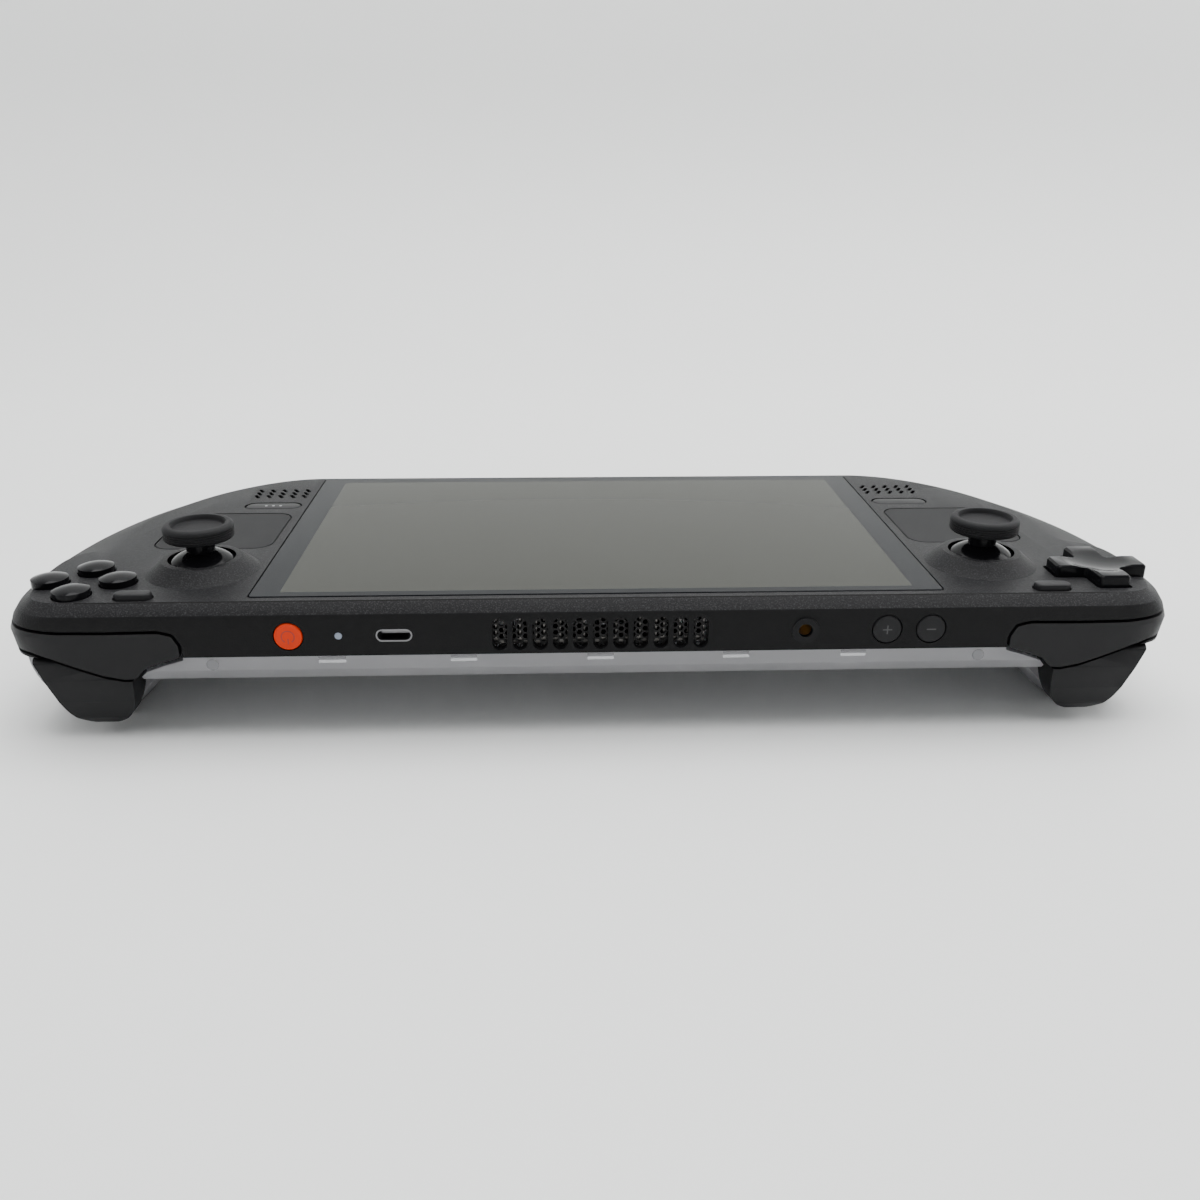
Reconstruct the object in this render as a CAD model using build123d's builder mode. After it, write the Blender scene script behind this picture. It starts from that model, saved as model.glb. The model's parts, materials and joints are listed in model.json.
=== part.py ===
"""Handheld game console, lying face up, built as an assembly of separate pieces.

X runs along the console, Y from the top edge with the ports (near, -Y) to the
bottom edge (far, +Y), and Z up from the table that the two grips rest on. The
player's left hand holds the +X grip with the direction pad, and the right hand
the -X grip with the four round buttons. Lengths are in millimetres.
"""

from build123d import *
import os
from math import cos, radians, sin, sqrt

os.makedirs("parts", exist_ok=True)

# Whole console
length = 298.0
depth = 117.0
grip_height = 22.4
front_height = 13.6
body_thickness = 21.0
wall = 2.0
shut_gap = 0.3
seam_gap = 0.8
running_gap = 0.05
overrun = 1.0
edge_proud = 0.3

half_length = length / 2
half_depth = depth / 2
face_z = grip_height + front_height
ceiling_z = face_z - wall
rear_z = face_z - body_thickness
floor_in_z = rear_z + wall
near_y = edge_proud - half_depth
far_y = half_depth
near_in_y = near_y + wall
far_in_y = far_y - wall
sides = (("left", 1), ("right", -1))
inward = (0, 1, 0)
upward = (0, 0, 1)

# Side outline of the body and of its face, from the near edge round to the far
# edge, as shares of half the length and of the distance to the near or far edge
rim_side_shares = (
    (0.892, -1.0), (0.929, -0.988), (0.961, -0.950), (0.986, -0.855), (0.998, -0.692), (1.0, -0.52),
    (0.995, -0.342), (0.985, -0.154), (0.970, 0.034), (0.946, 0.231), (0.910, 0.444),
    (0.852, 0.663), (0.772, 0.851), (0.691, 0.957), (0.652, 0.987), (0.604, 1.0),
)
face_side_shares = (
    (0.884, -1.0), (0.909, -0.990), (0.931, -0.960), (0.948, -0.872), (0.957, -0.696), (0.957, -0.506),
    (0.937, -0.345), (0.900, -0.262), (0.884, -0.109), (0.882, 0.154), (0.855, 0.380),
    (0.795, 0.660), (0.718, 0.868), (0.654, 0.966), (0.624, 0.990), (0.590, 1.0),
)

# Roundness of the body's edge: how far each level lies below the face, and how
# far it is drawn in from the widest outline
edge_bevel = 3.0
crest_drop = 2.6
crest_inset = 2.8
shoulder_drop = 5.0
shoulder_inset = 1.1
widest_drop = 8.0
parting_inset = 1.0
tray_side_inset = 1.0
tray_edge_drop = 3.6
tray_bevel = 3.8

# Grips, level by level: height as a share of the grip's height, inner and outer
# side as shares of half the length, near and far end as shares of half the depth
grip_level_shares = (
    (1.0, 0.698, 0.9933, -0.985, 0.986),
    (0.714, 0.735, 0.989, -0.960, 0.897),
    (0.402, 0.773, 0.976, -0.860, 0.786),
    (0.179, 0.799, 0.955, -0.800, 0.650),
    (0.054, 0.817, 0.937, -0.760, 0.547),
    (0.0, 0.836, 0.918, -0.710, 0.4615),
)
grip_inner_shares = ((0.0, 0.86), (0.0, 0.62), (0.0, 0.38), (0.0, 0.14), (0.16, 0.012))
grip_outer_points = 13

# Display
glass_length = 173.9
glass_depth = 106.7
glass_shift = 0.65
glass_thick = 1.2
glass_proud = 0.15
glass_corner = 1.4
glass_gap = 0.35
panel_length = 165.6
panel_depth = 101.6
panel_thick = 3.2
panel_gap = 0.7
frame_thick = 1.5
frame_length = 168.0
frame_near = 43.0
frame_far = 50.8
frame_ear_radius = 3.2
frame_window_pitch = 40.0
frame_window_count = 4
frame_window_length = 34.0
frame_window_depth = 36.0
frame_window_corner = 3.0
standoff_shares = ((0.88, 0.88), (0.4, 0.88), (0.88, 0.06))
frame_post_x = 86.2
frame_post_near = 40.0
frame_post_far = 48.0
post_radius = 2.3
pilot_radius = 0.9

# Sticks
stick_x = 103.3
stick_y = -32.3
stick_rise = 13.0
stick_pivot_drop = 6.0
stick_click = 0.4
cap_radius = 8.9
cap_thick = 4.0
cap_lip = 2.3
cap_edge = 0.5
dish_depth = 1.4
neck_radius = 3.6
dome_radius = 12.0
dome_thick = 1.0
dome_half_angle = 58.0
well_clearance = 0.8
collar_rise = 3.5
collar_foot_radius = 14.5
collar_rim_radius = 10.2
module_side = 19.0
module_wall = 2.5
module_corner = 7.0
module_floor = 1.5
module_drop = 13.5
module_over = 1.5
module_foot_radius = 4.0
yoke_outer = 6.3
yoke_inner = 4.6
yoke_thick = 2.4
yoke_pin_radius = 1.0
hub_radius = 3.2
hub_height = 5.0
hub_pin_radius = 0.9
stem_radius = 1.5

# Round face buttons
button_x = 130.6
button_y = -41.5
button_offset = 8.5
button_radius = 4.5
button_rise = 2.5
button_dome = 0.9
dome_arc_share = 0.5
flange_over = 0.7
flange_space = 3.6
flange_thick = 1.2
plunger_length = 1.0
plunger_radius = 1.8

# Direction pad
pad_x = 131.4
pad_y = -40.3
pad_span = 23.6
pad_arm = 7.9
pad_rise = 3.0
pad_dish = 1.2
pad_dish_radius = 30.0
pad_gap = 0.6
pad_corner = 1.0
pad_chamfer = 0.5
pad_pivot_drop = 6.2
pad_flange_over = 0.9
pad_flange_thick = 0.9
pad_flange_drop = 3.2
spider_radius = 0.8
spider_reach = 5.4
bearing_reach = 4.2
bearing_thick = 1.6
bearing_over = 1.4

# Small pill buttons on the face
option_x = 114.9
option_y = -52.2
option_length = 9.3
option_width = 4.0
option_rise = 1.5
pill_chamfer = 0.4
pill_x = 97.9
pill_y = 24.8
pill_length = 16.9
pill_width = 6.2
small_flange_over = 0.8
small_flange_thick = 1.1

# Trackpads and their haptic motors
track_x = 106.25
track_y = 0.75
track_side = 32.5
track_corner = 5.0
track_thick = 3.7
track_flange_over = 1.0
motor_length = 30.0
motor_width = 13.0
motor_thick = 3.4

# Speakers and their slots
speaker_x = 99.5
speaker_y = 38.0
speaker_length = 17.6
speaker_width = 14.4
speaker_thick = 7.0
cone_radius = 5.6
cone_taper = 40.0
slot_rows = 3
slot_columns = 5
slot_x = 97.8
slot_pitch_x = 3.7
slot_pitch_y = 3.2
slot_length = 3.6
slot_width = 1.1
slot_angle = 62.0

# Ports and buttons in the near wall
port_z = 27.7
power_x = -76.7
power_radius = 3.45
status_x = -64.5
status_radius = 0.9
status_reach = 3.0
usb_x = -50.9
usb_width = 8.94
usb_height = 3.26
usb_depth = 7.6
usb_skin = 0.35
tongue_width = 6.7
tongue_height = 0.7
tongue_length = 5.0
jack_x = 51.2
jack_ring_radius = 3.4
jack_bore_radius = 1.75
jack_bore_length = 14.0
jack_body_width = 8.0
jack_body_height = 6.4
jack_body_length = 13.0
volume_up_x = 71.8
volume_down_x = 82.9
volume_radius = 3.6
wall_flange_over = 0.8
wall_flange_thick = 0.9
wall_plunger = 0.4
vent_z = 27.55
vent_count = 11
vent_pitch = 5.0
vent_width = 3.7
vent_height = 8.5
mesh_thick = 0.5
mesh_length = 57.0
mesh_height = 9.2
mesh_hex_radius = 0.72
mesh_pitch_radius = 0.86
mesh_columns = 36
mesh_rows = 5

# Bumpers
bumper_in_x = 103.6
bumper_wrap = 9.8
bumper_swing = 1.2
bumper_thick = 2.2
bumper_end_gap = 1.6
bumper_pin_x = 106.6
bumper_pin_y = -51.6
bumper_pin_radius = 1.2
bumper_lug_radius = 2.7
bumper_lug_low = 22.7
bumper_lug_high = 26.1
bumper_corner = 1.0
# Bumper seen from the near side: across from its inner end to past its outer
# end, and up from the lowest point of its lower edge to its top, as shares
bumper_low_z = 16.6
bumper_top_z = 31.2
bumper_out_x = 150.5
bumper_outline_shares = (
    (0.0, 0.385), (0.0, 0.60), (0.03, 0.78), (0.10, 0.836), (0.365, 0.826), (0.61, 0.835),
    (0.8, 0.875), (1.0, 0.9), (1.0, 0.52), (0.77, 0.49), (0.665, 0.395),
    (0.51, 0.197), (0.4, 0.068), (0.298, 0.0), (0.24, 0.014), (0.19, 0.185), (0.1, 0.29),
)
# Rim under a bumper's inner end, as shares of the same width across and of the
# wall's thickness up from the parting line
notch_shares = (
    (0.0, 3.0), (0.0, -0.1), (0.1, -0.8), (0.19, -1.55), (0.24, -2.8), (0.32, -2.8), (0.32, 3.0))

# Triggers
trigger_in_x = 115.6
trigger_out_x = 140.4
trigger_tip_x = 125.6
trigger_tip_radius = 9.3
trigger_ear_x = 134.4
trigger_pin_end_x = 138.6
trigger_skin = 2.2
trigger_pin_y = -49.0
trigger_pin_z = 20.0
trigger_pin_radius = 1.0
trigger_lug_radius = 3.0
# Trigger seen from its side, as shares of its reach from the grip's end towards
# the near edge and of its height from its tip to its top
trigger_top_z = 22.1
trigger_foot_z = 2.4
trigger_corner = 0.8
trigger_back_y = -46.7
trigger_side_shares = (
    (0.86, 0.985), (0.985, 0.95), (1.0, 0.70), (0.95, 0.40), (0.80, 0.13), (0.60, 0.0),
    (0.42, 0.06), (0.33, 0.33), (0.04, 0.66), (0.04, 0.90), (0.20, 1.0), (0.50, 1.0),
)
mount_gap = 0.4
mount_thick = 1.8
mount_low_z = 13.4
mount_high_z = 26.2
ear_thick = 2.4
ear_gap = 0.5
pocket_end_y = -44.5
spring_radius = 2.1
spring_bore = 1.3
spring_length = 8.0

# Rear grip buttons
grip_button_x = 112.9
grip_button_ys = (-21.5, 4.5)
grip_button_length = 21.0
grip_button_width = 8.8
grip_button_gap = 0.6
grip_button_corner = 3.0

# Boards, cooling and battery
board_thick = 1.2
chip_thick = 1.1
chip_side = 13.0
board_z = 27.9
board_half_length = 80.0
board_near = 43.0
board_far = 2.0
port_back_y = 43.2
standoff_radius = 2.0
shield_thick = 2.5
shield_skin = 0.4
shield_near = 40.0
shield_far = 1.0
shield_in = 30.0
shield_out = 77.0
fan_x = 0.0
fan_y = -24.0
fan_side = 42.0
fan_low_z = 18.4
fan_wall = 1.2
fan_corner = 4.0
blade_sweep = 35.0
rotor_radius = 17.0
rotor_hub_radius = 6.0
rotor_low_z = 20.4
rotor_height = 5.0
blade_count = 19
blade_thick = 0.8
spindle_radius = 1.5
eye_radius = 12.0
fin_count = 27
fin_pitch = 2.0
fin_thick = 0.4
fin_near_gap = 0.3
fin_depth = 8.0
fin_low_z = 22.8
fin_high_z = 31.4
pipe_width = 8.0
pipe_thick = 1.4
pipe_x = -54.0
pipe_y = -18.0
storage_length = 30.0
storage_width = 22.0
storage_thick = 2.2
storage_x = 49.0
storage_y = -20.0
battery_length = 98.0
battery_depth = 44.0
battery_thick = 8.6
battery_y = 28.6
battery_corner = 3.0
reader_x = -30.0
reader_width = 14.0
reader_depth = 15.0
reader_thick = 1.8
reader_slot_width = 11.6
reader_slot_height = 0.9
reader_z = 27.7

# Control boards and rubber mats
control_z = 26.6
control_post_radius = 1.8
# Outline of a control board and places of its posts, as shares of half the
# length and half the depth
control_board_shares = (
    (0.607, -0.889), (0.92, -0.889), (0.946, -0.82), (0.946, -0.376),
    (0.88, -0.2), (0.87, 0.27), (0.79, 0.5026), (0.607, 0.5026),
)
control_post_shares = ((0.617, -0.846), (0.856, -0.342), (0.852, 0.205), (0.752, 0.42))
mat_thick = 1.0
mat_dome_radius = 2.6
mat_dome_height = 1.2
mat_margin = 3.2
mat_dome_taper = 25.0

# Case screws
screw_place_shares = ((0.63758, 0.82564), (0.586, 0.342), (0.586, -0.865))
screw_head_radius = 2.4
screw_head_depth = 1.3
screw_shank_radius = 0.9
screw_length = 13.0
screw_gap = 0.1
boss_radius = 2.6
boss_split_z = 24.0

# Air intake in the rear panel
intake_rows = 7
intake_pitch = 4.2
intake_length = 30.0
intake_width = 2.0


def side_points(shares, half_span, near, far):
    """Points of a side outline, from the near edge round to the far edge."""
    return [(x * half_span, -y * near if y < 0 else y * far) for x, y in shares]


def outline_face(shares, half_span, near, far, z):
    """Full plan outline at height z, alike on both sides."""
    points = side_points(shares, half_span, near, far)
    mirrored = [(-x, y) for x, y in reversed(points)]
    with BuildSketch(Plane.XY.offset(z)) as section:
        with BuildLine():
            Line(mirrored[-1], points[0])
            Spline(*points)
            Line(points[-1], mirrored[0])
            Spline(*mirrored)
        make_face()
    return section.sketch


def front_levels(inset, lift, base_z):
    """Outlines of the front body from its base to its face, drawn in by inset."""
    near, far, half = near_y + inset, far_y - inset, half_length - inset
    rim, face = rim_side_shares, face_side_shares
    return (
        (rim, half - parting_inset, near, far, base_z),
        (rim, half - parting_inset, near, far, grip_height),
        (rim, half, near, far, face_z - widest_drop),
        (rim, half - shoulder_inset, near, far, face_z - shoulder_drop),
        (rim, half - crest_inset, near, far, face_z - crest_drop - lift),
        (face, half, near + edge_bevel, far - edge_bevel, face_z - lift),
    )


def tray_levels(inset, lift, top_z):
    """Outlines of the rear shell's middle from its open top down to its panel."""
    half = half_length - parting_inset - tray_side_inset - inset
    near, far = near_y + inset, far_y - inset
    edge_z = grip_height - tray_edge_drop
    return (
        (rim_side_shares, half, near, far, top_z),
        (rim_side_shares, half, near, far, edge_z),
        (rim_side_shares, half - tray_bevel, near + tray_bevel, far - tray_bevel, rear_z + lift),
    )


def grip_face(level, inset, lift, top_z, side):
    """Closed plan outline of a grip at one of its levels."""
    height_share, inner_share, outer_share, near_share, far_share = level
    outer = side_points(rim_side_shares, half_length - parting_inset, near_y, far_y)
    outer = outer[:grip_outer_points]
    top = grip_level_shares[0]
    top_in, top_out = top[1] * half_length, top[2] * half_length
    top_near, top_far = top[3] * half_depth, top[4] * half_depth
    shape = [((x - top_in) / (top_out - top_in), (y - top_near) / (top_far - top_near))
             for x, y in outer] + list(grip_inner_shares)
    x_in = inner_share * half_length + inset
    x_out = outer_share * half_length - inset
    y_near = near_share * half_depth + inset
    y_far = far_share * half_depth - inset
    points = [(side * (x_in + u * (x_out - x_in)), y_near + v * (y_far - y_near)) for u, v in shape]
    z = height_share * grip_height if height_share < 1 else top_z
    with BuildSketch(Plane.XY.offset(z if z > lift else lift)) as section:
        with BuildLine():
            Spline(*points, periodic=True)
        make_face()
    return section.sketch


def bumper_outline(grow):
    """Bumper seen from the near side, grown by a gap all round."""
    points = [(bumper_in_x + x * (bumper_out_x - bumper_in_x),
               bumper_low_z + z * (bumper_top_z - bumper_low_z)) for x, z in bumper_outline_shares]
    near_plane = Plane(origin=(0, near_y - overrun, 0), x_dir=(1, 0, 0), z_dir=(0, -1, 0))
    with BuildSketch(near_plane) as section:
        with BuildLine():
            Polyline(*points, close=True)
        make_face()
        fillet(section.vertices(), bumper_corner)
        if grow > 0:
            offset(amount=grow)
    return section.sketch


# Front body and its hollow, as plain forms
with BuildPart() as front_form:
    for level in front_levels(0, 0, grip_height)[1:]:
        add(outline_face(*level))
    loft(ruled=True)

with BuildPart() as front_hollow:
    for level in front_levels(wall, wall, grip_height - overrun):
        add(outline_face(*level))
    loft(ruled=True)


def tray_part(inset, lift, top_z):
    """Middle of the rear body: upright edge, then a bevel down to the panel."""
    top, edge, panel = tray_levels(inset, lift, top_z)
    with BuildPart() as tray:
        add(outline_face(*edge))
        extrude(amount=top[-1] - edge[-1])
        add(outline_face(*edge))
        add(outline_face(*panel))
        loft(ruled=True)
    return tray.part


# Rear body and its hollow, as plain forms
with BuildPart() as rear_form:
    add(tray_part(0, 0, grip_height))
    for side_name, side in sides:
        for level in grip_level_shares:
            add(grip_face(level, 0, 0, grip_height, side))
        loft()

rear_hollows = [tray_part(wall, wall, grip_height + overrun)]
for side_name, side in sides:
    with BuildPart() as grip_hollow:
        for level in grip_level_shares[:-1]:
            add(grip_face(level, wall, wall, grip_height + overrun, side))
        loft()
    rear_hollows.append(grip_hollow.part)

# Shoulder form: the near edge and corners, carried down past the parting line
with BuildPart() as shoulder_form:
    for level in front_levels(0, 0, bumper_low_z - overrun)[:-1]:
        add(outline_face(*level))
    loft(ruled=True)

with BuildPart() as shoulder_hollow:
    for level in front_levels(bumper_thick, -overrun, bumper_low_z - overrun - overrun)[:-1]:
        add(outline_face(*level))
    loft(ruled=True)

# Space that a bumper takes out of the shells, with its seam
bumper_reach = overrun + bumper_wrap
with BuildPart() as bumper_space:
    add(bumper_outline(seam_gap))
    extrude(amount=bumper_reach + bumper_end_gap, dir=inward)
    mirror(about=Plane.YZ)


def pocket_part(grow):
    """Pockets for the triggers in the near corners of the rear shell."""
    x_in = trigger_in_x - seam_gap - shut_gap - grow
    with BuildPart() as pocket:
        for _, side in sides:
            with BuildSketch(Plane.XY.offset(-overrun - grow)):
                with Locations((side * x_in, near_y - overrun)):
                    Rectangle(
                        half_length - x_in + overrun,
                        pocket_end_y - near_y + overrun + grow,
                        align=(Align.MIN if side > 0 else Align.MAX, Align.MIN),
                    )
            extrude(amount=grip_height + overrun + overrun + grow)
    return pocket.part


def notch_part(grow, side):
    """Notch under a bumper's inner end, down from the rear shell's rim."""
    points = [(side * (bumper_in_x + x * (bumper_out_x - bumper_in_x)), grip_height + z * wall)
              for x, z in notch_shares]
    with BuildPart() as notch:
        with BuildSketch(near_plane(near_y - overrun)):
            with BuildLine():
                Polyline(*points, close=True)
            make_face()
            offset(amount=seam_gap + grow, kind=Kind.INTERSECTION)
        extrude(amount=-(bumper_reach + bumper_end_gap + grow))
    return notch.part


def near_plane(y):
    """Plane square to Y whose sketch runs along X and up, seen from the near side."""
    return Plane(origin=(0, y, 0), x_dir=(1, 0, 0), z_dir=(0, -1, 0))


def side_plane(x):
    """Plane square to X whose sketch runs along Y and up."""
    return Plane(origin=(x, 0, 0), x_dir=(0, 1, 0), z_dir=(1, 0, 0))


stick_places = [(side * stick_x, stick_y) for _, side in sides]
stick_pivot_z = face_z - stick_pivot_drop
button_places = [
    (-button_x, button_y + button_offset), (-button_x, button_y - button_offset),
    (-button_x - button_offset, button_y), (-button_x + button_offset, button_y),
]
screw_places = [
    (side * x * half_length, y * half_depth) for _, side in sides for x, y in screw_place_shares]
control_posts = [
    (side * x * half_length, y * half_depth) for _, side in sides for x, y in control_post_shares]
frame_posts = [(side * frame_post_x, y) for _, side in sides for y in (-frame_post_near, frame_post_far)]
glass_seat_z = face_z + glass_proud - glass_thick
panel_z = glass_seat_z - panel_thick
frame_z = panel_z - frame_thick
control_top_z = control_z + board_thick
well_radius = dome_radius + well_clearance
flange_space_z = ceiling_z - flange_space


def cross_sketch(grow):
    """Direction pad's cross, grown by a gap all round."""
    with BuildSketch(Plane.XY) as cross:
        with Locations((pad_x, pad_y)):
            Rectangle(pad_span + grow + grow, pad_arm + grow + grow)
            Rectangle(pad_arm + grow + grow, pad_span + grow + grow)
        fillet(cross.vertices(), pad_corner)
    return cross.sketch


# Front shell: face, bevel and upper half of the edge, with every hole in them
with BuildPart() as front_shell:
    add(front_form.part)
    add(front_hollow.part, mode=Mode.SUBTRACT)
    for x, y in stick_places:
        with BuildSketch(near_plane(y)):
            with BuildLine():
                Polyline(
                    (x, ceiling_z), (x + collar_foot_radius, ceiling_z), (x + collar_foot_radius, face_z),
                    (x + collar_rim_radius, face_z + collar_rise), (x, face_z + collar_rise), close=True,
                )
            make_face()
        revolve(axis=Axis((x, y, 0), upward))
    with BuildSketch(Plane.XY.offset(panel_z)):
        with Locations(*frame_posts):
            Circle(post_radius)
    extrude(amount=ceiling_z + wall / 2 - panel_z)
    with BuildSketch(Plane.XY.offset(control_top_z)):
        with Locations(*control_posts):
            Circle(control_post_radius)
    extrude(amount=ceiling_z + wall / 2 - control_top_z)
    with BuildSketch(Plane.XY.offset(boss_split_z)):
        with Locations(*screw_places):
            Circle(boss_radius)
    extrude(amount=ceiling_z + wall / 2 - boss_split_z)
    with BuildSketch(Plane.XY.offset(bumper_lug_high + shut_gap)):
        with Locations(*[(side * bumper_pin_x, bumper_pin_y) for _, side in sides]):
            Circle(post_radius)
    extrude(amount=ceiling_z + wall / 2 - bumper_lug_high - shut_gap)
    with BuildSketch(Plane.XY.offset(bumper_lug_low - shut_gap)):
        with Locations(*[(side * bumper_pin_x, bumper_pin_y) for _, side in sides]):
            Circle(bumper_pin_radius)
    extrude(amount=bumper_lug_high - bumper_lug_low + shut_gap + overrun)
    with Locations(*[(x, y, stick_pivot_z) for x, y in stick_places]):
        Sphere(well_radius, mode=Mode.SUBTRACT)
    with BuildSketch(Plane.XY.offset(boss_split_z)):
        with Locations(*screw_places):
            Circle(pilot_radius)
    extrude(amount=screw_length - screw_head_depth, mode=Mode.SUBTRACT)
    with BuildSketch(Plane.XY.offset(glass_seat_z)):
        with Locations((0, glass_shift)):
            RectangleRounded(glass_length + 2 * glass_gap, glass_depth + 2 * glass_gap, glass_corner)
    extrude(amount=wall + glass_thick, mode=Mode.SUBTRACT)
    with BuildSketch(Plane.XY.offset(ceiling_z - overrun)):
        Rectangle(panel_length + 2 * panel_gap, panel_depth + 2 * panel_gap)
        add(cross_sketch(pad_gap))
        with Locations(*button_places):
            Circle(button_radius + shut_gap)
        with Locations(*[(side * option_x, option_y) for _, side in sides]):
            SlotOverall(option_length + 2 * shut_gap, option_width + 2 * shut_gap)
        with Locations(*[(side * pill_x, pill_y) for _, side in sides]):
            SlotOverall(pill_length + 2 * shut_gap, pill_width + 2 * shut_gap)
        with Locations(*[(side * track_x, track_y) for _, side in sides]):
            RectangleRounded(track_side + 2 * shut_gap, track_side + 2 * shut_gap, track_corner + shut_gap)
        for _, side in sides:
            with Locations((side * slot_x, speaker_y)):
                with GridLocations(slot_pitch_x, slot_pitch_y, slot_columns, slot_rows):
                    SlotOverall(slot_length, slot_width, rotation=90 + side * (slot_angle - 90))
    extrude(amount=wall + glass_thick + overrun, mode=Mode.SUBTRACT)
    with BuildSketch(Plane.XY.offset(flange_space_z)):
        add(cross_sketch(pad_flange_over + shut_gap))
        with Locations(*button_places):
            Circle(button_radius + flange_over + shut_gap)
        with Locations(*[(side * option_x, option_y) for _, side in sides]):
            SlotOverall(
                option_length + 2 * small_flange_over + 2 * shut_gap,
                option_width + 2 * small_flange_over + 2 * shut_gap)
    extrude(amount=ceiling_z - flange_space_z, mode=Mode.SUBTRACT)
    with BuildSketch(near_plane(near_in_y)):
        with Locations((power_x, port_z)):
            Circle(power_radius + wall_flange_over + shut_gap)
        with Locations((volume_up_x, port_z), (volume_down_x, port_z)):
            Circle(volume_radius + wall_flange_over + shut_gap)
        with Locations((0, vent_z)):
            Rectangle(mesh_length + shut_gap, mesh_height + shut_gap)
    extrude(amount=-wall, mode=Mode.SUBTRACT)
    with BuildSketch(near_plane(near_y - overrun)):
        with Locations((power_x, port_z)):
            Circle(power_radius + shut_gap)
        with Locations((volume_up_x, port_z), (volume_down_x, port_z)):
            Circle(volume_radius + shut_gap)
        with Locations((status_x, port_z)):
            Circle(status_radius + running_gap)
        with Locations((usb_x, port_z)):
            SlotOverall(usb_width + 2 * running_gap, usb_height + 2 * running_gap)
        with Locations((jack_x, port_z)):
            Circle(jack_ring_radius + running_gap)
        with Locations((0, vent_z)):
            with GridLocations(vent_pitch, vent_pitch, vent_count, 1):
                SlotOverall(vent_height, vent_width, rotation=90)
    extrude(amount=-(wall + 2 * overrun), mode=Mode.SUBTRACT)
    add(bumper_space.part, mode=Mode.SUBTRACT)
    with Locations((reader_x, far_y, reader_z)):
        Box(reader_slot_width, 3 * wall, reader_slot_height, mode=Mode.SUBTRACT)
front_shell.part.label = "front_shell"

# Rear shell: lower half of the edge, rear panel and both grips
with BuildPart() as rear_solid:
    add(rear_form.part)
    add(pocket_part(0), mode=Mode.SUBTRACT)
    for _, side in sides:
        add(notch_part(0, side), mode=Mode.SUBTRACT)

rear_spaces = []
for hollow in rear_hollows:
    with BuildPart() as space:
        add(hollow)
        add(pocket_part(wall), mode=Mode.SUBTRACT)
        for _, side in sides:
            add(notch_part(wall, side), mode=Mode.SUBTRACT)
    rear_spaces.append(space.part)


def grip_button_outline(grow):
    """Plan of the four rear grip buttons, grown by a gap all round."""
    with BuildSketch(Plane.XY) as plan:
        with Locations(*[(side * grip_button_x, y) for _, side in sides for y in grip_button_ys]):
            RectangleRounded(
                grip_button_width + grow + grow, grip_button_length + grow + grow, grip_button_corner + grow)
    return plan.sketch


with BuildPart() as rear_shell:
    add(rear_solid.part)
    for space in rear_spaces:
        add(space, mode=Mode.SUBTRACT)
    with BuildSketch(Plane.XY.offset(rear_z + wall / 2)):
        with Locations(*screw_places):
            Circle(boss_radius)
    extrude(amount=boss_split_z - rear_z - wall / 2)
    with BuildSketch(Plane.XY.offset(rear_z + wall / 2)):
        with Locations(*stick_places):
            Circle(module_foot_radius)
    extrude(amount=face_z - module_drop - rear_z - wall / 2)
    with BuildSketch(Plane.XY.offset(rear_z - overrun)):
        with Locations(*screw_places):
            Circle(screw_head_radius + screw_gap)
    extrude(amount=screw_head_depth + overrun, mode=Mode.SUBTRACT)
    with BuildSketch(Plane.XY.offset(rear_z - overrun)):
        with Locations(*screw_places):
            Circle(screw_shank_radius + screw_gap)
        with Locations((fan_x, fan_y)):
            with GridLocations(intake_pitch, intake_pitch, 1, intake_rows):
                SlotOverall(intake_length, intake_width)
    extrude(amount=boss_split_z - rear_z + 2 * overrun, mode=Mode.SUBTRACT)
    with BuildSketch(Plane.XY.offset(-overrun)):
        add(grip_button_outline(grip_button_gap))
    extrude(amount=floor_in_z + 2 * overrun, mode=Mode.SUBTRACT)
rear_shell.part.label = "rear_shell"

# Bumpers: a bent cover with a lug that turns on a stud of the front shell
with BuildPart() as left_bumper:
    add(bumper_outline(0))
    extrude(amount=bumper_reach, dir=inward)
    add(shoulder_form.part, mode=Mode.INTERSECT)
    add(shoulder_hollow.part, mode=Mode.SUBTRACT)
    with BuildSketch(Plane.XY.offset(bumper_lug_low)):
        with Locations((bumper_pin_x, bumper_pin_y)):
            Circle(bumper_lug_radius)
            Rectangle(
                2 * bumper_lug_radius, bumper_pin_y - near_y - bumper_thick / 2,
                align=(Align.CENTER, Align.MAX))
    extrude(amount=bumper_lug_high - bumper_lug_low)
    with BuildSketch(Plane.XY.offset(bumper_lug_low)):
        with Locations((bumper_pin_x, bumper_pin_y)):
            Circle(bumper_pin_radius + running_gap)
    extrude(amount=bumper_lug_high - bumper_lug_low, mode=Mode.SUBTRACT)
left_bumper.part.label = "left_bumper"

with BuildPart() as right_bumper:
    mirror(left_bumper.part, about=Plane.YZ)
right_bumper.part.label = "right_bumper"

# Triggers: a hooked hollow shell on a cross pin, seen from its side first
trigger_front_y = near_y + edge_proud
trigger_mid_x = (trigger_out_x + trigger_in_x) / 2
trigger_width = trigger_out_x - trigger_in_x


def trigger_profile(shrink, shift):
    """Side view of the trigger, drawn in by a skin and moved towards the grip."""
    reach, rise = trigger_front_y - trigger_back_y, trigger_top_z - trigger_foot_z
    points = [(trigger_back_y + y * reach, trigger_foot_z + z * rise) for y, z in trigger_side_shares]
    with BuildSketch(side_plane(0)) as profile:
        with BuildLine():
            Polyline(*points, close=True)
        make_face()
        if shrink > 0:
            offset(amount=-shrink, kind=Kind.INTERSECTION)
        else:
            fillet(profile.vertices(), trigger_corner)
    return profile.sketch.moved(Location((0, shift, 0)))


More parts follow.
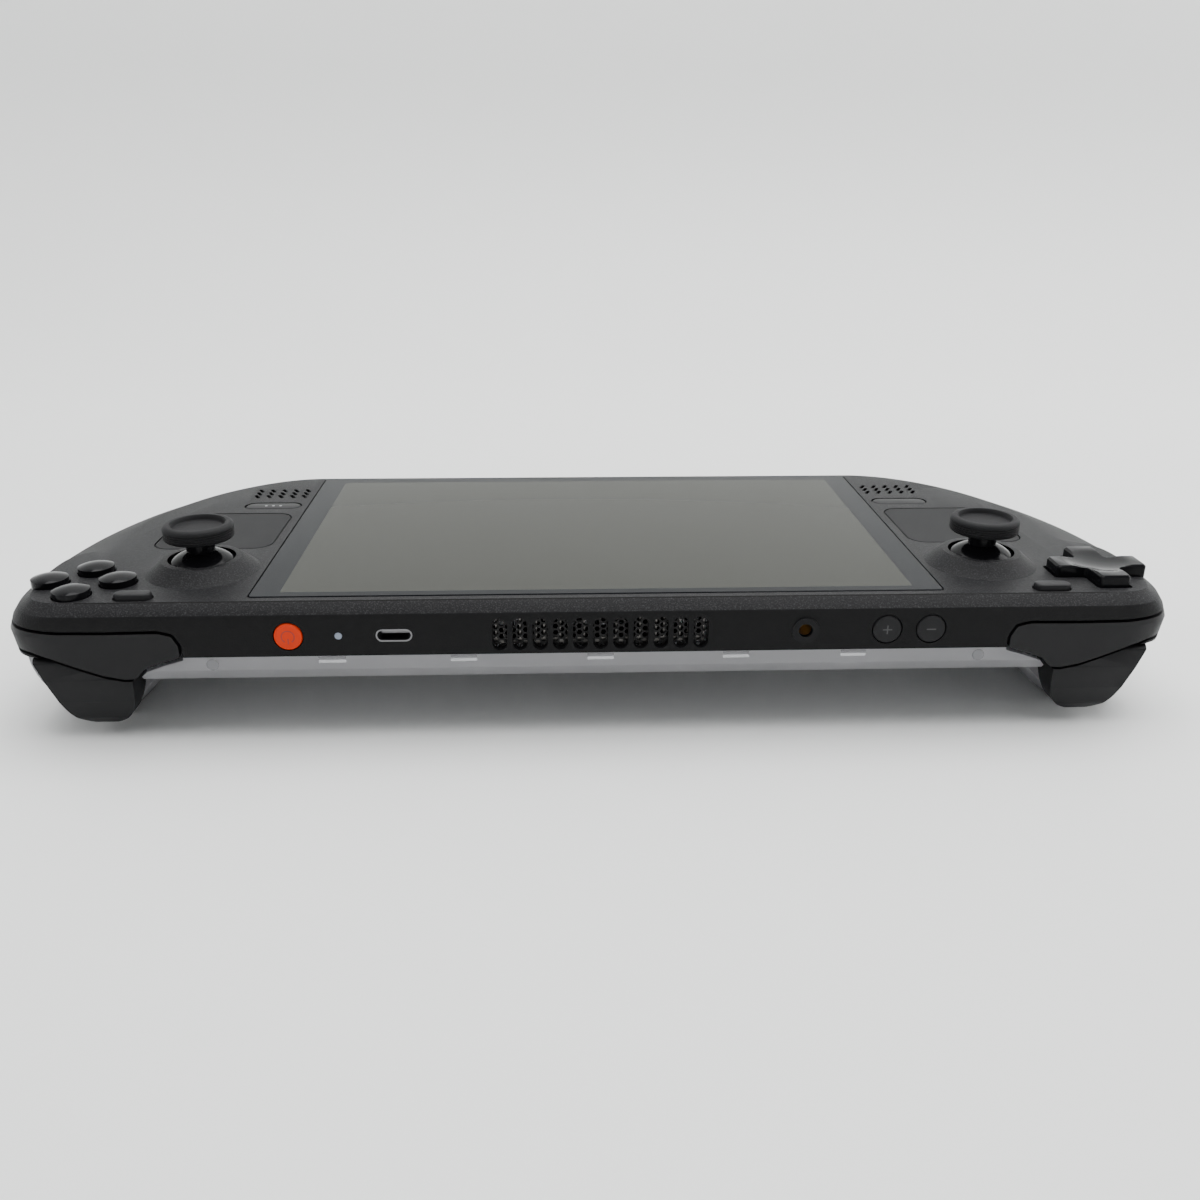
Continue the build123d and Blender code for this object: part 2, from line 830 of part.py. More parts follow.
def trigger_tongue(shrink):
    """Front view of the trigger: a round tip and sides that spread towards the top."""
    top_z = trigger_top_z + overrun
    with BuildSketch(near_plane(near_y - overrun)) as tongue:
        with BuildLine():
            CenterArc(
                (trigger_tip_x, trigger_foot_z + trigger_tip_radius), trigger_tip_radius - shrink, 0, 360)
            Line((trigger_in_x + shrink, top_z), (trigger_out_x - shrink, top_z))
        make_hull()
    return tongue.sketch


with BuildPart() as trigger_core:
    for shift in (0, trigger_skin, 2 * trigger_skin):
        add(trigger_profile(trigger_skin, shift))
        extrude(amount=half_length, dir=(1, 0, 0))
    core_cut = trigger_tongue(trigger_skin)
    add(core_cut)
    extrude(amount=half_depth, dir=inward, mode=Mode.INTERSECT)

with BuildPart() as left_trigger:
    add(trigger_profile(0, 0))
    extrude(amount=half_length, dir=(1, 0, 0))
    add(trigger_tongue(0))
    extrude(amount=half_depth, dir=inward, mode=Mode.INTERSECT)
    add(trigger_core.part, mode=Mode.SUBTRACT)
    with BuildSketch(Plane.XY.offset(trigger_pin_z - trigger_lug_radius - trigger_skin)):
        with Locations((trigger_mid_x, trigger_pin_y - trigger_lug_radius - ear_gap)):
            Rectangle(
                trigger_width - 2 * trigger_skin, half_depth, align=(Align.CENTER, Align.MIN))
    extrude(amount=grip_height, mode=Mode.SUBTRACT)
    add(bumper_outline(seam_gap))
    extrude(amount=overrun + bumper_thick + bumper_swing, dir=inward, mode=Mode.SUBTRACT)
    with BuildSketch(side_plane(0)):
        with Locations((trigger_pin_y, trigger_pin_z)):
            Circle(trigger_pin_radius + running_gap)
    extrude(amount=half_length, mode=Mode.SUBTRACT)
left_trigger.part.label = "left_trigger"

with BuildPart() as right_trigger:
    mirror(left_trigger.part, about=Plane.YZ)
right_trigger.part.label = "right_trigger"

# Brackets that carry the triggers, against the end walls of the grips
ear_in_x = trigger_tip_x - trigger_tip_radius + trigger_skin + ear_gap
ear_out_x = trigger_ear_x
with BuildPart() as trigger_brackets:
    with BuildSketch(near_plane(pocket_end_y)):
        with Locations(((ear_in_x + ear_out_x) / 2, mount_low_z)):
            Rectangle(ear_out_x - ear_in_x, mount_high_z - mount_low_z, align=(Align.CENTER, Align.MIN))
    extrude(amount=mount_thick)
    for x in (ear_in_x, ear_out_x - ear_thick):
        with BuildSketch(side_plane(x)):
            with Locations((trigger_pin_y, trigger_pin_z)):
                Circle(trigger_lug_radius)
                Rectangle(
                    pocket_end_y - mount_thick / 2 - trigger_pin_y, 2 * trigger_lug_radius,
                    align=(Align.MIN, Align.CENTER))
                Circle(trigger_pin_radius, mode=Mode.SUBTRACT)
        extrude(amount=ear_thick)
    mirror(about=Plane.YZ)
trigger_brackets.part.label = "trigger_brackets"

with BuildPart() as trigger_pins:
    with BuildSketch(side_plane(trigger_in_x + shut_gap)):
        with Locations((trigger_pin_y, trigger_pin_z)):
            Circle(trigger_pin_radius)
    extrude(amount=trigger_pin_end_x - trigger_in_x - shut_gap)
    mirror(about=Plane.YZ)
trigger_pins.part.label = "trigger_pins"

with BuildPart() as trigger_springs:
    with BuildSketch(side_plane(trigger_mid_x - spring_length / 2)):
        with Locations((trigger_pin_y, trigger_pin_z)):
            Circle(spring_radius)
            Circle(spring_bore, mode=Mode.SUBTRACT)
    extrude(amount=spring_length)
    mirror(about=Plane.YZ)
trigger_springs.part.label = "trigger_springs"

# Rear grip buttons: four pieces of the grips' skin
with BuildPart() as rear_button_skin:
    add(rear_solid.part)
    for space in rear_spaces:
        add(space, mode=Mode.SUBTRACT)
    with BuildSketch(Plane.XY.offset(-overrun)):
        add(grip_button_outline(0))
    extrude(amount=floor_in_z + overrun, mode=Mode.INTERSECT)

grip_buttons = []
for side_name, side in sides:
    for place, y in zip(("upper", "lower"), grip_button_ys):
        with BuildPart() as grip_button:
            add(rear_button_skin.part.solids().sort_by_distance((side * grip_button_x, y, rear_z))[0])
        grip_button.part.label = f"{side_name}_{place}_grip_button"
        grip_buttons.append(grip_button.part)


# Display: cover glass and the panel behind it
with BuildPart() as display_glass:
    with BuildSketch(Plane.XY.offset(glass_seat_z)):
        with Locations((0, glass_shift)):
            RectangleRounded(glass_length, glass_depth, glass_corner - glass_gap)
    extrude(amount=glass_thick)
    chamfer(display_glass.edges().group_by(Axis.Z)[-1], glass_proud)
display_glass.part.label = "display_glass"

with BuildPart() as display_panel:
    with BuildSketch(Plane.XY.offset(panel_z)):
        Rectangle(panel_length, panel_depth)
    extrude(amount=panel_thick)
display_panel.part.label = "display_panel"

# Metal frame behind the display, screwed to four posts of the front shell
standoff_places = [(side * x * frame_length / 2, -y * frame_near) for _, side in sides
                   for x, y in standoff_shares]
with BuildPart() as mid_frame:
    with BuildSketch(Plane.XY.offset(frame_z)):
        with Locations((0, -frame_near)):
            Rectangle(frame_length, frame_near + frame_far, align=(Align.CENTER, Align.MIN))
        with Locations(*frame_posts):
            Circle(frame_ear_radius)
        with Locations((0, frame_far / 2)):
            with GridLocations(frame_window_pitch, 0, frame_window_count, 1):
                RectangleRounded(
                    frame_window_length, frame_window_depth, frame_window_corner, mode=Mode.SUBTRACT)
    extrude(amount=frame_thick)
    with BuildSketch(Plane.XY.offset(board_z + board_thick)):
        with Locations(*standoff_places):
            Circle(standoff_radius)
    extrude(amount=frame_z - board_z - board_thick)
mid_frame.part.label = "mid_frame"

# Main board with its chips, and a tin shield under its processor side
with BuildPart() as main_board:
    with BuildSketch(Plane.XY.offset(board_z)):
        with Locations((0, -board_near)):
            Rectangle(2 * board_half_length, board_near + board_far, align=(Align.CENTER, Align.MIN))
    extrude(amount=board_thick)
    with BuildSketch(Plane.XY.offset(board_z - chip_thick)):
        with Locations((pipe_x, pipe_y)):
            Rectangle(chip_side, chip_side)
        with Locations((pipe_x + chip_side, pipe_y), (pipe_x - chip_side, pipe_y)):
            Rectangle(chip_side / 2, chip_side / 2)
    extrude(amount=chip_thick)
main_board.part.label = "main_board"

shield_top_z = board_z - shield_thick
with BuildPart() as board_shield:
    with BuildSketch(Plane.XY.offset(shield_top_z)):
        with Locations((-shield_out, -shield_near)):
            Rectangle(shield_out - shield_in, shield_near + shield_far, align=(Align.MIN, Align.MIN))
    extrude(amount=shield_thick)
    with BuildSketch(Plane.XY.offset(shield_top_z + shield_skin)):
        with Locations((shield_skin - shield_out, shield_skin - shield_near)):
            Rectangle(
                shield_out - shield_in - 2 * shield_skin, shield_near + shield_far - 2 * shield_skin,
                align=(Align.MIN, Align.MIN))
    extrude(amount=shield_thick, mode=Mode.SUBTRACT)
board_shield.part.label = "board_shield"

# Heat sink: fins behind the vents, joined by a flat heat pipe
fin_near_y = near_in_y + mesh_thick + fin_near_gap
fin_mid_y = fin_near_y + fin_depth / 2
with BuildPart() as heat_sink:
    with BuildSketch(Plane.XY.offset(fin_low_z)):
        with Locations((0, fin_mid_y)):
            with GridLocations(fin_pitch, fin_pitch, fin_count, 1):
                Rectangle(fin_thick, fin_depth)
    extrude(amount=fin_high_z - fin_low_z)
    with BuildSketch(Plane.XY.offset(shield_top_z - pipe_thick)):
        with Locations((pipe_x - pipe_width / 2, fin_mid_y)):
            Rectangle(
                fin_pitch * (fin_count - 1) / 2 - pipe_x + pipe_width / 2, pipe_width,
                align=(Align.MIN, Align.CENTER))
        with Locations((pipe_x, fin_mid_y)):
            Rectangle(pipe_width, pipe_y - fin_mid_y, align=(Align.CENTER, Align.MIN))
    extrude(amount=pipe_thick)
heat_sink.part.label = "heat_sink"

# Blower: housing hung under the main board, rotor on its spindle
fan_roof_z = board_z - fan_wall
with BuildPart() as fan_housing:
    with BuildSketch(Plane.XY.offset(fan_low_z)):
        with Locations((fan_x, fan_y)):
            RectangleRounded(fan_side, fan_side, fan_corner)
    extrude(amount=board_z - fan_low_z)
    with BuildSketch(Plane.XY.offset(fan_low_z + fan_wall)):
        with Locations((fan_x, fan_y)):
            Circle(fan_side / 2 - fan_wall)
        with Locations((fan_x, fan_y - fan_side / 2 - overrun)):
            Rectangle(fan_side - 4 * fan_wall, fan_side / 2, align=(Align.CENTER, Align.MIN))
    extrude(amount=fan_roof_z - fan_low_z - fan_wall, mode=Mode.SUBTRACT)
    with BuildSketch(Plane.XY.offset(fan_low_z - overrun)):
        with Locations((fan_x, fan_y)):
            Circle(eye_radius)
    extrude(amount=fan_wall + 2 * overrun, mode=Mode.SUBTRACT)
    with BuildSketch(Plane.XY.offset(rotor_low_z)):
        with Locations((fan_x, fan_y)):
            Circle(spindle_radius)
    extrude(amount=board_z - rotor_low_z)
fan_housing.part.label = "fan_housing"

with BuildPart() as fan_rotor:
    with BuildSketch(Plane.XY.offset(rotor_low_z)):
        with Locations((fan_x, fan_y)):
            Circle(rotor_hub_radius)
            with PolarLocations(rotor_hub_radius - blade_thick, blade_count):
                Rectangle(
                    rotor_radius - rotor_hub_radius + blade_thick, blade_thick, rotation=blade_sweep,
                    align=(Align.MIN, Align.CENTER))
            Circle(spindle_radius + running_gap, mode=Mode.SUBTRACT)
    extrude(amount=rotor_height)
fan_rotor.part.label = "fan_rotor"

# Storage card on the main board, battery on the rear shell's floor
with BuildPart() as storage_card:
    with BuildSketch(Plane.XY.offset(board_z - storage_thick)):
        with Locations((storage_x, storage_y)):
            Rectangle(storage_length, storage_width)
    extrude(amount=storage_thick)
storage_card.part.label = "storage_card"

with BuildPart() as battery:
    with BuildSketch(Plane.XY.offset(floor_in_z)):
        with Locations((0, battery_y)):
            RectangleRounded(battery_length, battery_depth, battery_corner)
    extrude(amount=battery_thick)
battery.part.label = "battery"

# Memory card reader against the far wall
with BuildPart() as card_reader:
    with Locations((reader_x, far_in_y, reader_z)):
        Box(reader_width, reader_depth, reader_thick, align=(Align.CENTER, Align.MAX, Align.CENTER))
        Box(
            reader_slot_width, 2 * reader_depth - 2 * reader_thick, reader_slot_height, mode=Mode.SUBTRACT)
card_reader.part.label = "card_reader"

# Ports, vent mesh and light in the near wall
with BuildPart() as usb_c_port:
    with BuildSketch(near_plane(near_y)):
        with Locations((usb_x, port_z)):
            SlotOverall(usb_width, usb_height)
    extrude(amount=-usb_depth)
    with BuildSketch(near_plane(near_y)):
        with Locations((usb_x, port_z)):
            SlotOverall(usb_width - 2 * usb_skin, usb_height - 2 * usb_skin)
    extrude(amount=-(usb_depth - usb_skin), mode=Mode.SUBTRACT)
    with BuildSketch(near_plane(near_y + usb_depth - usb_skin / 2)):
        with Locations((usb_x, port_z)):
            Rectangle(tongue_width, tongue_height)
    extrude(amount=tongue_length)
    with BuildSketch(near_plane(-port_back_y)):
        with Locations((usb_x, port_z)):
            Rectangle(usb_width, usb_height)
    extrude(amount=-port_back_y - near_y - usb_depth + usb_skin / 2)
usb_c_port.part.label = "usb_c_port"

with BuildPart() as headphone_jack:
    with BuildSketch(near_plane(near_y - edge_proud)):
        with Locations((jack_x, port_z)):
            Circle(jack_ring_radius)
    extrude(amount=-(edge_proud + wall + overrun))
    with BuildSketch(near_plane(near_in_y)):
        with Locations((jack_x, port_z)):
            Rectangle(jack_body_width, jack_body_height)
    extrude(amount=-jack_body_length)
    with BuildSketch(near_plane(near_y - edge_proud)):
        with Locations((jack_x, port_z)):
            Circle(jack_bore_radius)
    extrude(amount=-jack_bore_length, mode=Mode.SUBTRACT)
headphone_jack.part.label = "headphone_jack"

with BuildPart() as vent_mesh:
    with BuildSketch(near_plane(near_in_y)):
        with Locations((0, vent_z)):
            Rectangle(mesh_length, mesh_height)
            with HexLocations(mesh_pitch_radius, mesh_columns, mesh_rows):
                RegularPolygon(mesh_hex_radius, 6, mode=Mode.SUBTRACT)
    extrude(amount=-mesh_thick)
vent_mesh.part.label = "vent_mesh"

with BuildPart() as status_light:
    with BuildSketch(near_plane(near_y)):
        with Locations((status_x, port_z)):
            Circle(status_radius)
    extrude(amount=-(wall + status_reach))
status_light.part.label = "status_light"


def wall_button(x, radius):
    """Round button in the near wall, with a flange behind the wall."""
    with BuildPart() as button:
        with BuildSketch(near_plane(near_y - edge_proud)):
            with Locations((x, port_z)):
                Circle(radius)
        extrude(amount=-(edge_proud + wall + shut_gap))
        with BuildSketch(near_plane(near_in_y + shut_gap)):
            with Locations((x, port_z)):
                Circle(radius + wall_flange_over)
        extrude(amount=-wall_flange_thick)
        with BuildSketch(near_plane(near_in_y + shut_gap + wall_flange_thick)):
            with Locations((x, port_z)):
                Circle(radius / 2)
        extrude(amount=-wall_plunger)
        chamfer(button.edges().group_by(Axis.Y)[0], edge_proud)
    return button.part


wall_buttons = (("power_button", power_x, power_radius), ("volume_up_button", volume_up_x, volume_radius),
                ("volume_down_button", volume_down_x, volume_radius))
pieces = []
for name, x, radius in wall_buttons:
    with BuildPart() as near_button:
        add(wall_button(x, radius))
    near_button.part.label = name
    pieces.append(near_button.part)

# Trackpads with their haptic motors under them
track_z = face_z - track_thick
for side_name, side in sides:
    with BuildPart() as trackpad:
        with BuildSketch(Plane.XY.offset(track_z)):
            with Locations((side * track_x, track_y)):
                RectangleRounded(track_side, track_side, track_corner)
        extrude(amount=track_thick)
        with BuildSketch(Plane.XY.offset(track_z)):
            with Locations((side * track_x, track_y)):
                RectangleRounded(
                    track_side + 2 * track_flange_over, track_side + 2 * track_flange_over,
                    track_corner + track_flange_over)
        extrude(amount=ceiling_z - track_z)
    trackpad.part.label = f"{side_name}_trackpad"
    pieces.append(trackpad.part)

with BuildPart() as haptic_motors:
    with BuildSketch(Plane.XY.offset(track_z - motor_thick)):
        with Locations(*[(side * track_x, track_y) for _, side in sides]):
            RectangleRounded(motor_length, motor_width, motor_width / 4)
    extrude(amount=motor_thick)
haptic_motors.part.label = "haptic_motors"

# Speakers under their slots
with BuildPart() as speakers:
    with BuildSketch(Plane.XY.offset(ceiling_z - speaker_thick)):
        with Locations(*[(side * speaker_x, speaker_y) for _, side in sides]):
            RectangleRounded(speaker_length, speaker_width, speaker_width / 8)
    extrude(amount=speaker_thick)
    with BuildSketch(Plane.XY.offset(ceiling_z)):
        with Locations(*[(side * speaker_x, speaker_y) for _, side in sides]):
            Circle(cone_radius)
    extrude(amount=-cone_radius / 2, taper=cone_taper, mode=Mode.SUBTRACT)
speakers.part.label = "speakers"

# Control boards under the thumbs; the left one carries the pad's bearings
pad_pivot_z = face_z - pad_pivot_drop
for side_name, side in sides:
    with BuildPart() as control_board:
        with BuildSketch(Plane.XY.offset(control_z)):
            with BuildLine():
                Polyline(
                    *[(side * x * half_length, y * half_depth) for x, y in control_board_shares], close=True)
            make_face()
            with Locations((side * stick_x, stick_y)):
                Rectangle(module_side + 2 * shut_gap, module_side + 2 * shut_gap, mode=Mode.SUBTRACT)
            with Locations((side * bumper_pin_x, bumper_pin_y)):
                Circle(bumper_lug_radius + shut_gap, mode=Mode.SUBTRACT)
        extrude(amount=board_thick)
        if side > 0:
            for end in (-1, 1):
                with BuildSketch(side_plane(pad_x + end * bearing_reach - bearing_thick / 2)):
                    with Locations((pad_y, pad_pivot_z)):
                        Circle(bearing_over)
                        Rectangle(
                            2 * bearing_over, pad_pivot_z - control_top_z, align=(Align.CENTER, Align.MAX))
                        Circle(spider_radius + running_gap, mode=Mode.SUBTRACT)
                extrude(amount=bearing_thick)
    control_board.part.label = f"{side_name}_control_board"
    pieces.append(control_board.part)

# Rubber mats with domes
with BuildPart() as face_button_mat:
    with BuildSketch(Plane.XY.offset(control_top_z)):
        with Locations((-button_x, button_y)):
            Circle(button_offset + mat_margin)
    extrude(amount=mat_thick)
    with BuildSketch(Plane.XY.offset(control_top_z + mat_thick)):
        with Locations(*button_places):
            Circle(mat_dome_radius)
    extrude(amount=mat_dome_height, taper=mat_dome_taper)
face_button_mat.part.label = "face_button_mat"

pad_dome_reach = (pad_span - pad_arm) / 2
with BuildPart() as direction_pad_mat:
    with BuildSketch(Plane.XY.offset(control_top_z)):
        with Locations((pad_x, pad_y)):
            Circle(pad_dome_reach + mat_margin)
            Circle(spider_reach + bearing_thick / 2, mode=Mode.SUBTRACT)
    extrude(amount=mat_thick)
    with BuildSketch(Plane.XY.offset(control_top_z + mat_thick)):
        with Locations((pad_x, pad_y)):
            with PolarLocations(pad_dome_reach + mat_margin - mat_dome_radius, 4):
                Circle(mat_dome_radius)
    extrude(amount=mat_dome_height, taper=mat_dome_taper)
direction_pad_mat.part.label = "direction_pad_mat"

# Round face buttons
flange_top_z = ceiling_z - shut_gap
for name, place in zip(("top", "bottom", "outer", "inner"), ((0, 1), (0, -1), (-1, 0), (1, 0))):
    x, y = place[0] * button_offset - button_x, place[1] * button_offset + button_y
    side_z = face_z + button_rise - button_dome
    with BuildPart() as face_button:
        with BuildSketch(near_plane(y)):
            with BuildLine():
                ThreePointArc(
                    (x, face_z + button_rise),
                    (x + button_radius * sqrt(dome_arc_share), side_z + button_dome * (1 - dome_arc_share)),
                    (x + button_radius, side_z))
                Polyline(
                    (x + button_radius, side_z), (x + button_radius, flange_top_z),
                    (x + button_radius + flange_over, flange_top_z),
                    (x + button_radius + flange_over, flange_top_z - flange_thick),
                    (x + plunger_radius, flange_top_z - flange_thick),
                    (x + plunger_radius, flange_top_z - flange_thick - plunger_length),
                    (x, flange_top_z - flange_thick - plunger_length), (x, face_z + button_rise))
            make_face()
        revolve(axis=Axis((x, y, 0), upward))
    face_button.part.label = f"{name}_face_button"
    pieces.append(face_button.part)

# Direction pad on a two-way spider
pad_flange_z = face_z - pad_flange_drop - pad_flange_thick
with BuildPart() as direction_pad:
    add(cross_sketch(0).moved(Location((0, 0, pad_flange_z))))
    extrude(amount=face_z + pad_rise - pad_flange_z)
    with Locations((pad_x, pad_y, face_z + pad_rise - pad_dish + pad_dish_radius)):
        Sphere(pad_dish_radius, mode=Mode.SUBTRACT)
    chamfer(direction_pad.edges().group_by(Axis.Z)[-1], pad_chamfer)
    add(cross_sketch(pad_flange_over).moved(Location((0, 0, pad_flange_z))))
    extrude(amount=pad_flange_thick)
    for end in (-1, 1):
        with BuildSketch(near_plane(pad_y + end * bearing_reach + bearing_thick / 2)):
            with Locations((pad_x, pad_pivot_z)):
                Circle(bearing_over)
                Rectangle(
                    2 * bearing_over, pad_flange_z - pad_pivot_z + overrun / 2,
                    align=(Align.CENTER, Align.MIN))
                Circle(spider_radius + running_gap, mode=Mode.SUBTRACT)
        extrude(amount=bearing_thick)
direction_pad.part.label = "direction_pad"

with BuildPart() as pad_spider:
    with Locations((pad_x, pad_y, pad_pivot_z)):
        Cylinder(spider_radius, 2 * spider_reach, rotation=(0, 90, 0))
        Cylinder(spider_radius, 2 * spider_reach, rotation=(90, 0, 0))
        Cylinder(2 * spider_radius, 3 * spider_radius)
pad_spider.part.label = "pad_spider"


def pill_button(x, y, span, width, rise, plunger):
    """Button with round ends, flange under the face and plunger below."""
    with BuildPart() as pill:
        with BuildSketch(Plane.XY.offset(flange_top_z - small_flange_thick)):
            with Locations((x, y)):
                SlotOverall(span + 2 * small_flange_over, width + 2 * small_flange_over)
        extrude(amount=small_flange_thick)
        with BuildSketch(Plane.XY.offset(flange_top_z - small_flange_thick)):
            with Locations((x, y)):
                SlotOverall(span, width)
        extrude(amount=face_z + rise - flange_top_z + small_flange_thick)
        chamfer(pill.edges().group_by(Axis.Z)[-1], pill_chamfer)
        with BuildSketch(Plane.XY.offset(flange_top_z - small_flange_thick)):
            with Locations((x, y)):
                Circle(width / 3)
        extrude(amount=-plunger)
    return pill.part


pills = (
    ("menu_button", -option_x, option_y, option_length, option_width, option_rise),
    ("view_button", option_x, option_y, option_length, option_width, option_rise),
    ("quick_button", -pill_x, pill_y, pill_length, pill_width, 0),
    ("guide_button", pill_x, pill_y, pill_length, pill_width, 0),
)
for name, x, y, span, width, rise in pills:
    with BuildPart() as small_button:
        add(pill_button(x, y, span, width, rise, plunger_length))
    small_button.part.label = name
    pieces.append(small_button.part)

# Stick modules: open boxes that carry the yokes
module_z = face_z - module_drop
module_top_z = stick_pivot_z + module_over
with BuildPart() as stick_modules:
    with BuildSketch(Plane.XY.offset(module_z)):
        with Locations(*stick_places):
            RectangleRounded(module_side, module_side, module_corner)
    extrude(amount=module_top_z - module_z)
    with BuildSketch(Plane.XY.offset(module_z + module_floor)):
        with Locations(*stick_places):
            RectangleRounded(
                module_side - 2 * module_wall, module_side - 2 * module_wall, module_corner - module_wall)
    extrude(amount=module_top_z - module_z, mode=Mode.SUBTRACT)
    for x, y in stick_places:
        with Locations((x, y, stick_pivot_z)):
            Cylinder(
                yoke_pin_radius + running_gap, 2 * module_side, rotation=(0, 90, 0), mode=Mode.SUBTRACT)
stick_modules.part.label = "stick_modules"

# Sticks: yoke, hub, stem with its dome, and rubber cap
pin_reach = module_side / 2 - module_wall / 4
dome_low = cos(radians(dome_half_angle))
dome_side = sin(radians(dome_half_angle))
dome_inner = dome_radius - dome_thick
cap_top_z = face_z + stick_rise
cap_low_z = cap_top_z - cap_thick
for side_name, side in sides:
    x, y = side * stick_x, stick_y
    pivot = (x, y, stick_pivot_z)
    with BuildPart() as yoke:
        with Locations(pivot):
            Cylinder(yoke_outer, yoke_thick)
            Cylinder(yoke_pin_radius, 2 * pin_reach, rotation=(0, 90, 0))
            Cylinder(yoke_inner, 2 * yoke_thick, mode=Mode.SUBTRACT)
            Cylinder(
                hub_pin_radius + running_gap, 2 * yoke_outer + yoke_thick, rotation=(90, 0, 0),
                mode=Mode.SUBTRACT)
    yoke.part.label = f"{side_name}_stick_yoke"
    pieces.append(yoke.part)
    with BuildPart() as hub:
        with Locations(pivot):
            Cylinder(hub_radius, hub_height)
            Cylinder(hub_pin_radius, 2 * yoke_outer - yoke_thick / 4, rotation=(90, 0, 0))
        with BuildSketch(Plane.XY.offset(stick_pivot_z - hub_height / 4)):
            with Locations((x, y)):
                Circle(stem_radius + running_gap)
        extrude(amount=hub_height, mode=Mode.SUBTRACT)
    hub.part.label = f"{side_name}_stick_hub"
    pieces.append(hub.part)
    with BuildPart() as stem:
        with BuildSketch(near_plane(y)):
            with BuildLine():
                ThreePointArc(
                    (x, stick_pivot_z + dome_radius),
                    (x + dome_radius * sin(radians(dome_half_angle / 2)),
                     stick_pivot_z + dome_radius * cos(radians(dome_half_angle / 2))),
                    (x + dome_radius * dome_side, stick_pivot_z + dome_radius * dome_low))
                Line(
                    (x + dome_radius * dome_side, stick_pivot_z + dome_radius * dome_low),
                    (x + dome_inner * dome_side, stick_pivot_z + dome_inner * dome_low))
                ThreePointArc(
                    (x + dome_inner * dome_side, stick_pivot_z + dome_inner * dome_low),
                    (x + dome_inner * sin(radians(dome_half_angle / 2)),
                     stick_pivot_z + dome_inner * cos(radians(dome_half_angle / 2))),
                    (x, stick_pivot_z + dome_inner))
                Line((x, stick_pivot_z + dome_inner), (x, stick_pivot_z + dome_radius))
            make_face()
        revolve(axis=Axis((x, y, 0), upward))
        with BuildSketch(Plane.XY.offset(stick_pivot_z - hub_height / 4 + stick_click + shut_gap)):
            with Locations((x, y)):
                Circle(stem_radius)
        extrude(amount=cap_low_z + cap_thick / 3 - stick_pivot_z + hub_height / 4 - stick_click - shut_gap)
        with BuildSketch(Plane.XY.offset(stick_pivot_z + dome_inner)):
            with Locations((x, y)):
                Circle(neck_radius)
        extrude(amount=cap_low_z - stick_pivot_z - dome_inner)
    stem.part.label = f"{side_name}_stick_stem"
    pieces.append(stem.part)
    with BuildPart() as cap:
        with BuildSketch(near_plane(y)):
            with BuildLine():
                Polyline(
                    (x + stem_radius, cap_low_z), (x + cap_radius - cap_edge, cap_low_z),
                    (x + cap_radius, cap_low_z + cap_edge), (x + cap_radius, cap_top_z - cap_edge),
                    (x + cap_radius - cap_edge, cap_top_z), (x + cap_radius - cap_lip, cap_top_z),
                    (x + cap_radius - cap_lip - dish_depth / 2, cap_top_z - dish_depth),
                    (x, cap_top_z - dish_depth), (x, cap_low_z + cap_thick / 3),
                    (x + stem_radius, cap_low_z + cap_thick / 3), close=True)
            make_face()
        revolve(axis=Axis((x, y, 0), upward))
    cap.part.label = f"{side_name}_stick_cap"
    pieces.append(cap.part)

# Screws that hold the two shells together
with BuildPart() as case_screws:
    with BuildSketch(Plane.XY.offset(rear_z)):
        with Locations(*screw_places):
            Circle(screw_head_radius)
            RegularPolygon(screw_shank_radius, 6, mode=Mode.SUBTRACT)
    extrude(amount=screw_head_depth)
    with BuildSketch(Plane.XY.offset(rear_z + screw_head_depth / 2)):
        with Locations(*screw_places):
            Circle(screw_shank_radius)
    extrude(amount=screw_length - screw_head_depth / 2)
case_screws.part.label = "case_screws"

blocks = [
    front_shell, rear_shell, left_bumper, right_bumper, left_trigger, right_trigger, trigger_brackets,
    trigger_pins, trigger_springs, display_glass, display_panel, mid_frame, main_board, board_shield,
    heat_sink, fan_housing, fan_rotor, storage_card, battery, card_reader, usb_c_port, headphone_jack,
    vent_mesh, status_light, haptic_motors, speakers, face_button_mat, direction_pad_mat, direction_pad,
    pad_spider, stick_modules, case_screws,
]
for piece in [block.part for block in blocks] + pieces + grip_buttons:
    export_step(piece, f"parts/{piece.label}.step")
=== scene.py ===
import json
from math import cos, pi, radians, sin

import bmesh
import bpy
from mathutils import Matrix, Vector


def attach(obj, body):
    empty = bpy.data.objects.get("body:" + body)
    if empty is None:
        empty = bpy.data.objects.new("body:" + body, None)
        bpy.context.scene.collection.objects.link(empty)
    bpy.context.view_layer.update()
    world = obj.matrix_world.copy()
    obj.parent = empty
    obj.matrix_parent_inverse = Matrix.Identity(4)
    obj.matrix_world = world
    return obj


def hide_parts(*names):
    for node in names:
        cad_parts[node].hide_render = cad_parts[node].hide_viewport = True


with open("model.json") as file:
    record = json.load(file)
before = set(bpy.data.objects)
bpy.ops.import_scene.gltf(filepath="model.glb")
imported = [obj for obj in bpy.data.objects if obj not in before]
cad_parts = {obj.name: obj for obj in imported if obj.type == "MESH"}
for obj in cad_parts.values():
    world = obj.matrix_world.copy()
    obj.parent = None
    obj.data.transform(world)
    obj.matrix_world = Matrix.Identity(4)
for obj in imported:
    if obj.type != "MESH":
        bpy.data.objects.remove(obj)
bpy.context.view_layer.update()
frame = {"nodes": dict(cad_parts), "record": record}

mm = 0.001
sides = (("left", 1), ("right", -1))

# Camera, fitted to the photograph: angles in degrees, lens, sensor and place in
# millimetres, clip distance in metres
camera_yaw = 2.484
camera_pitch = 21.698
camera_roll = 0.282
camera_place = (-11.41, -316.2, 139.23)
lens_length = 34.048
sensor_width = 36
clip_start = 0.01

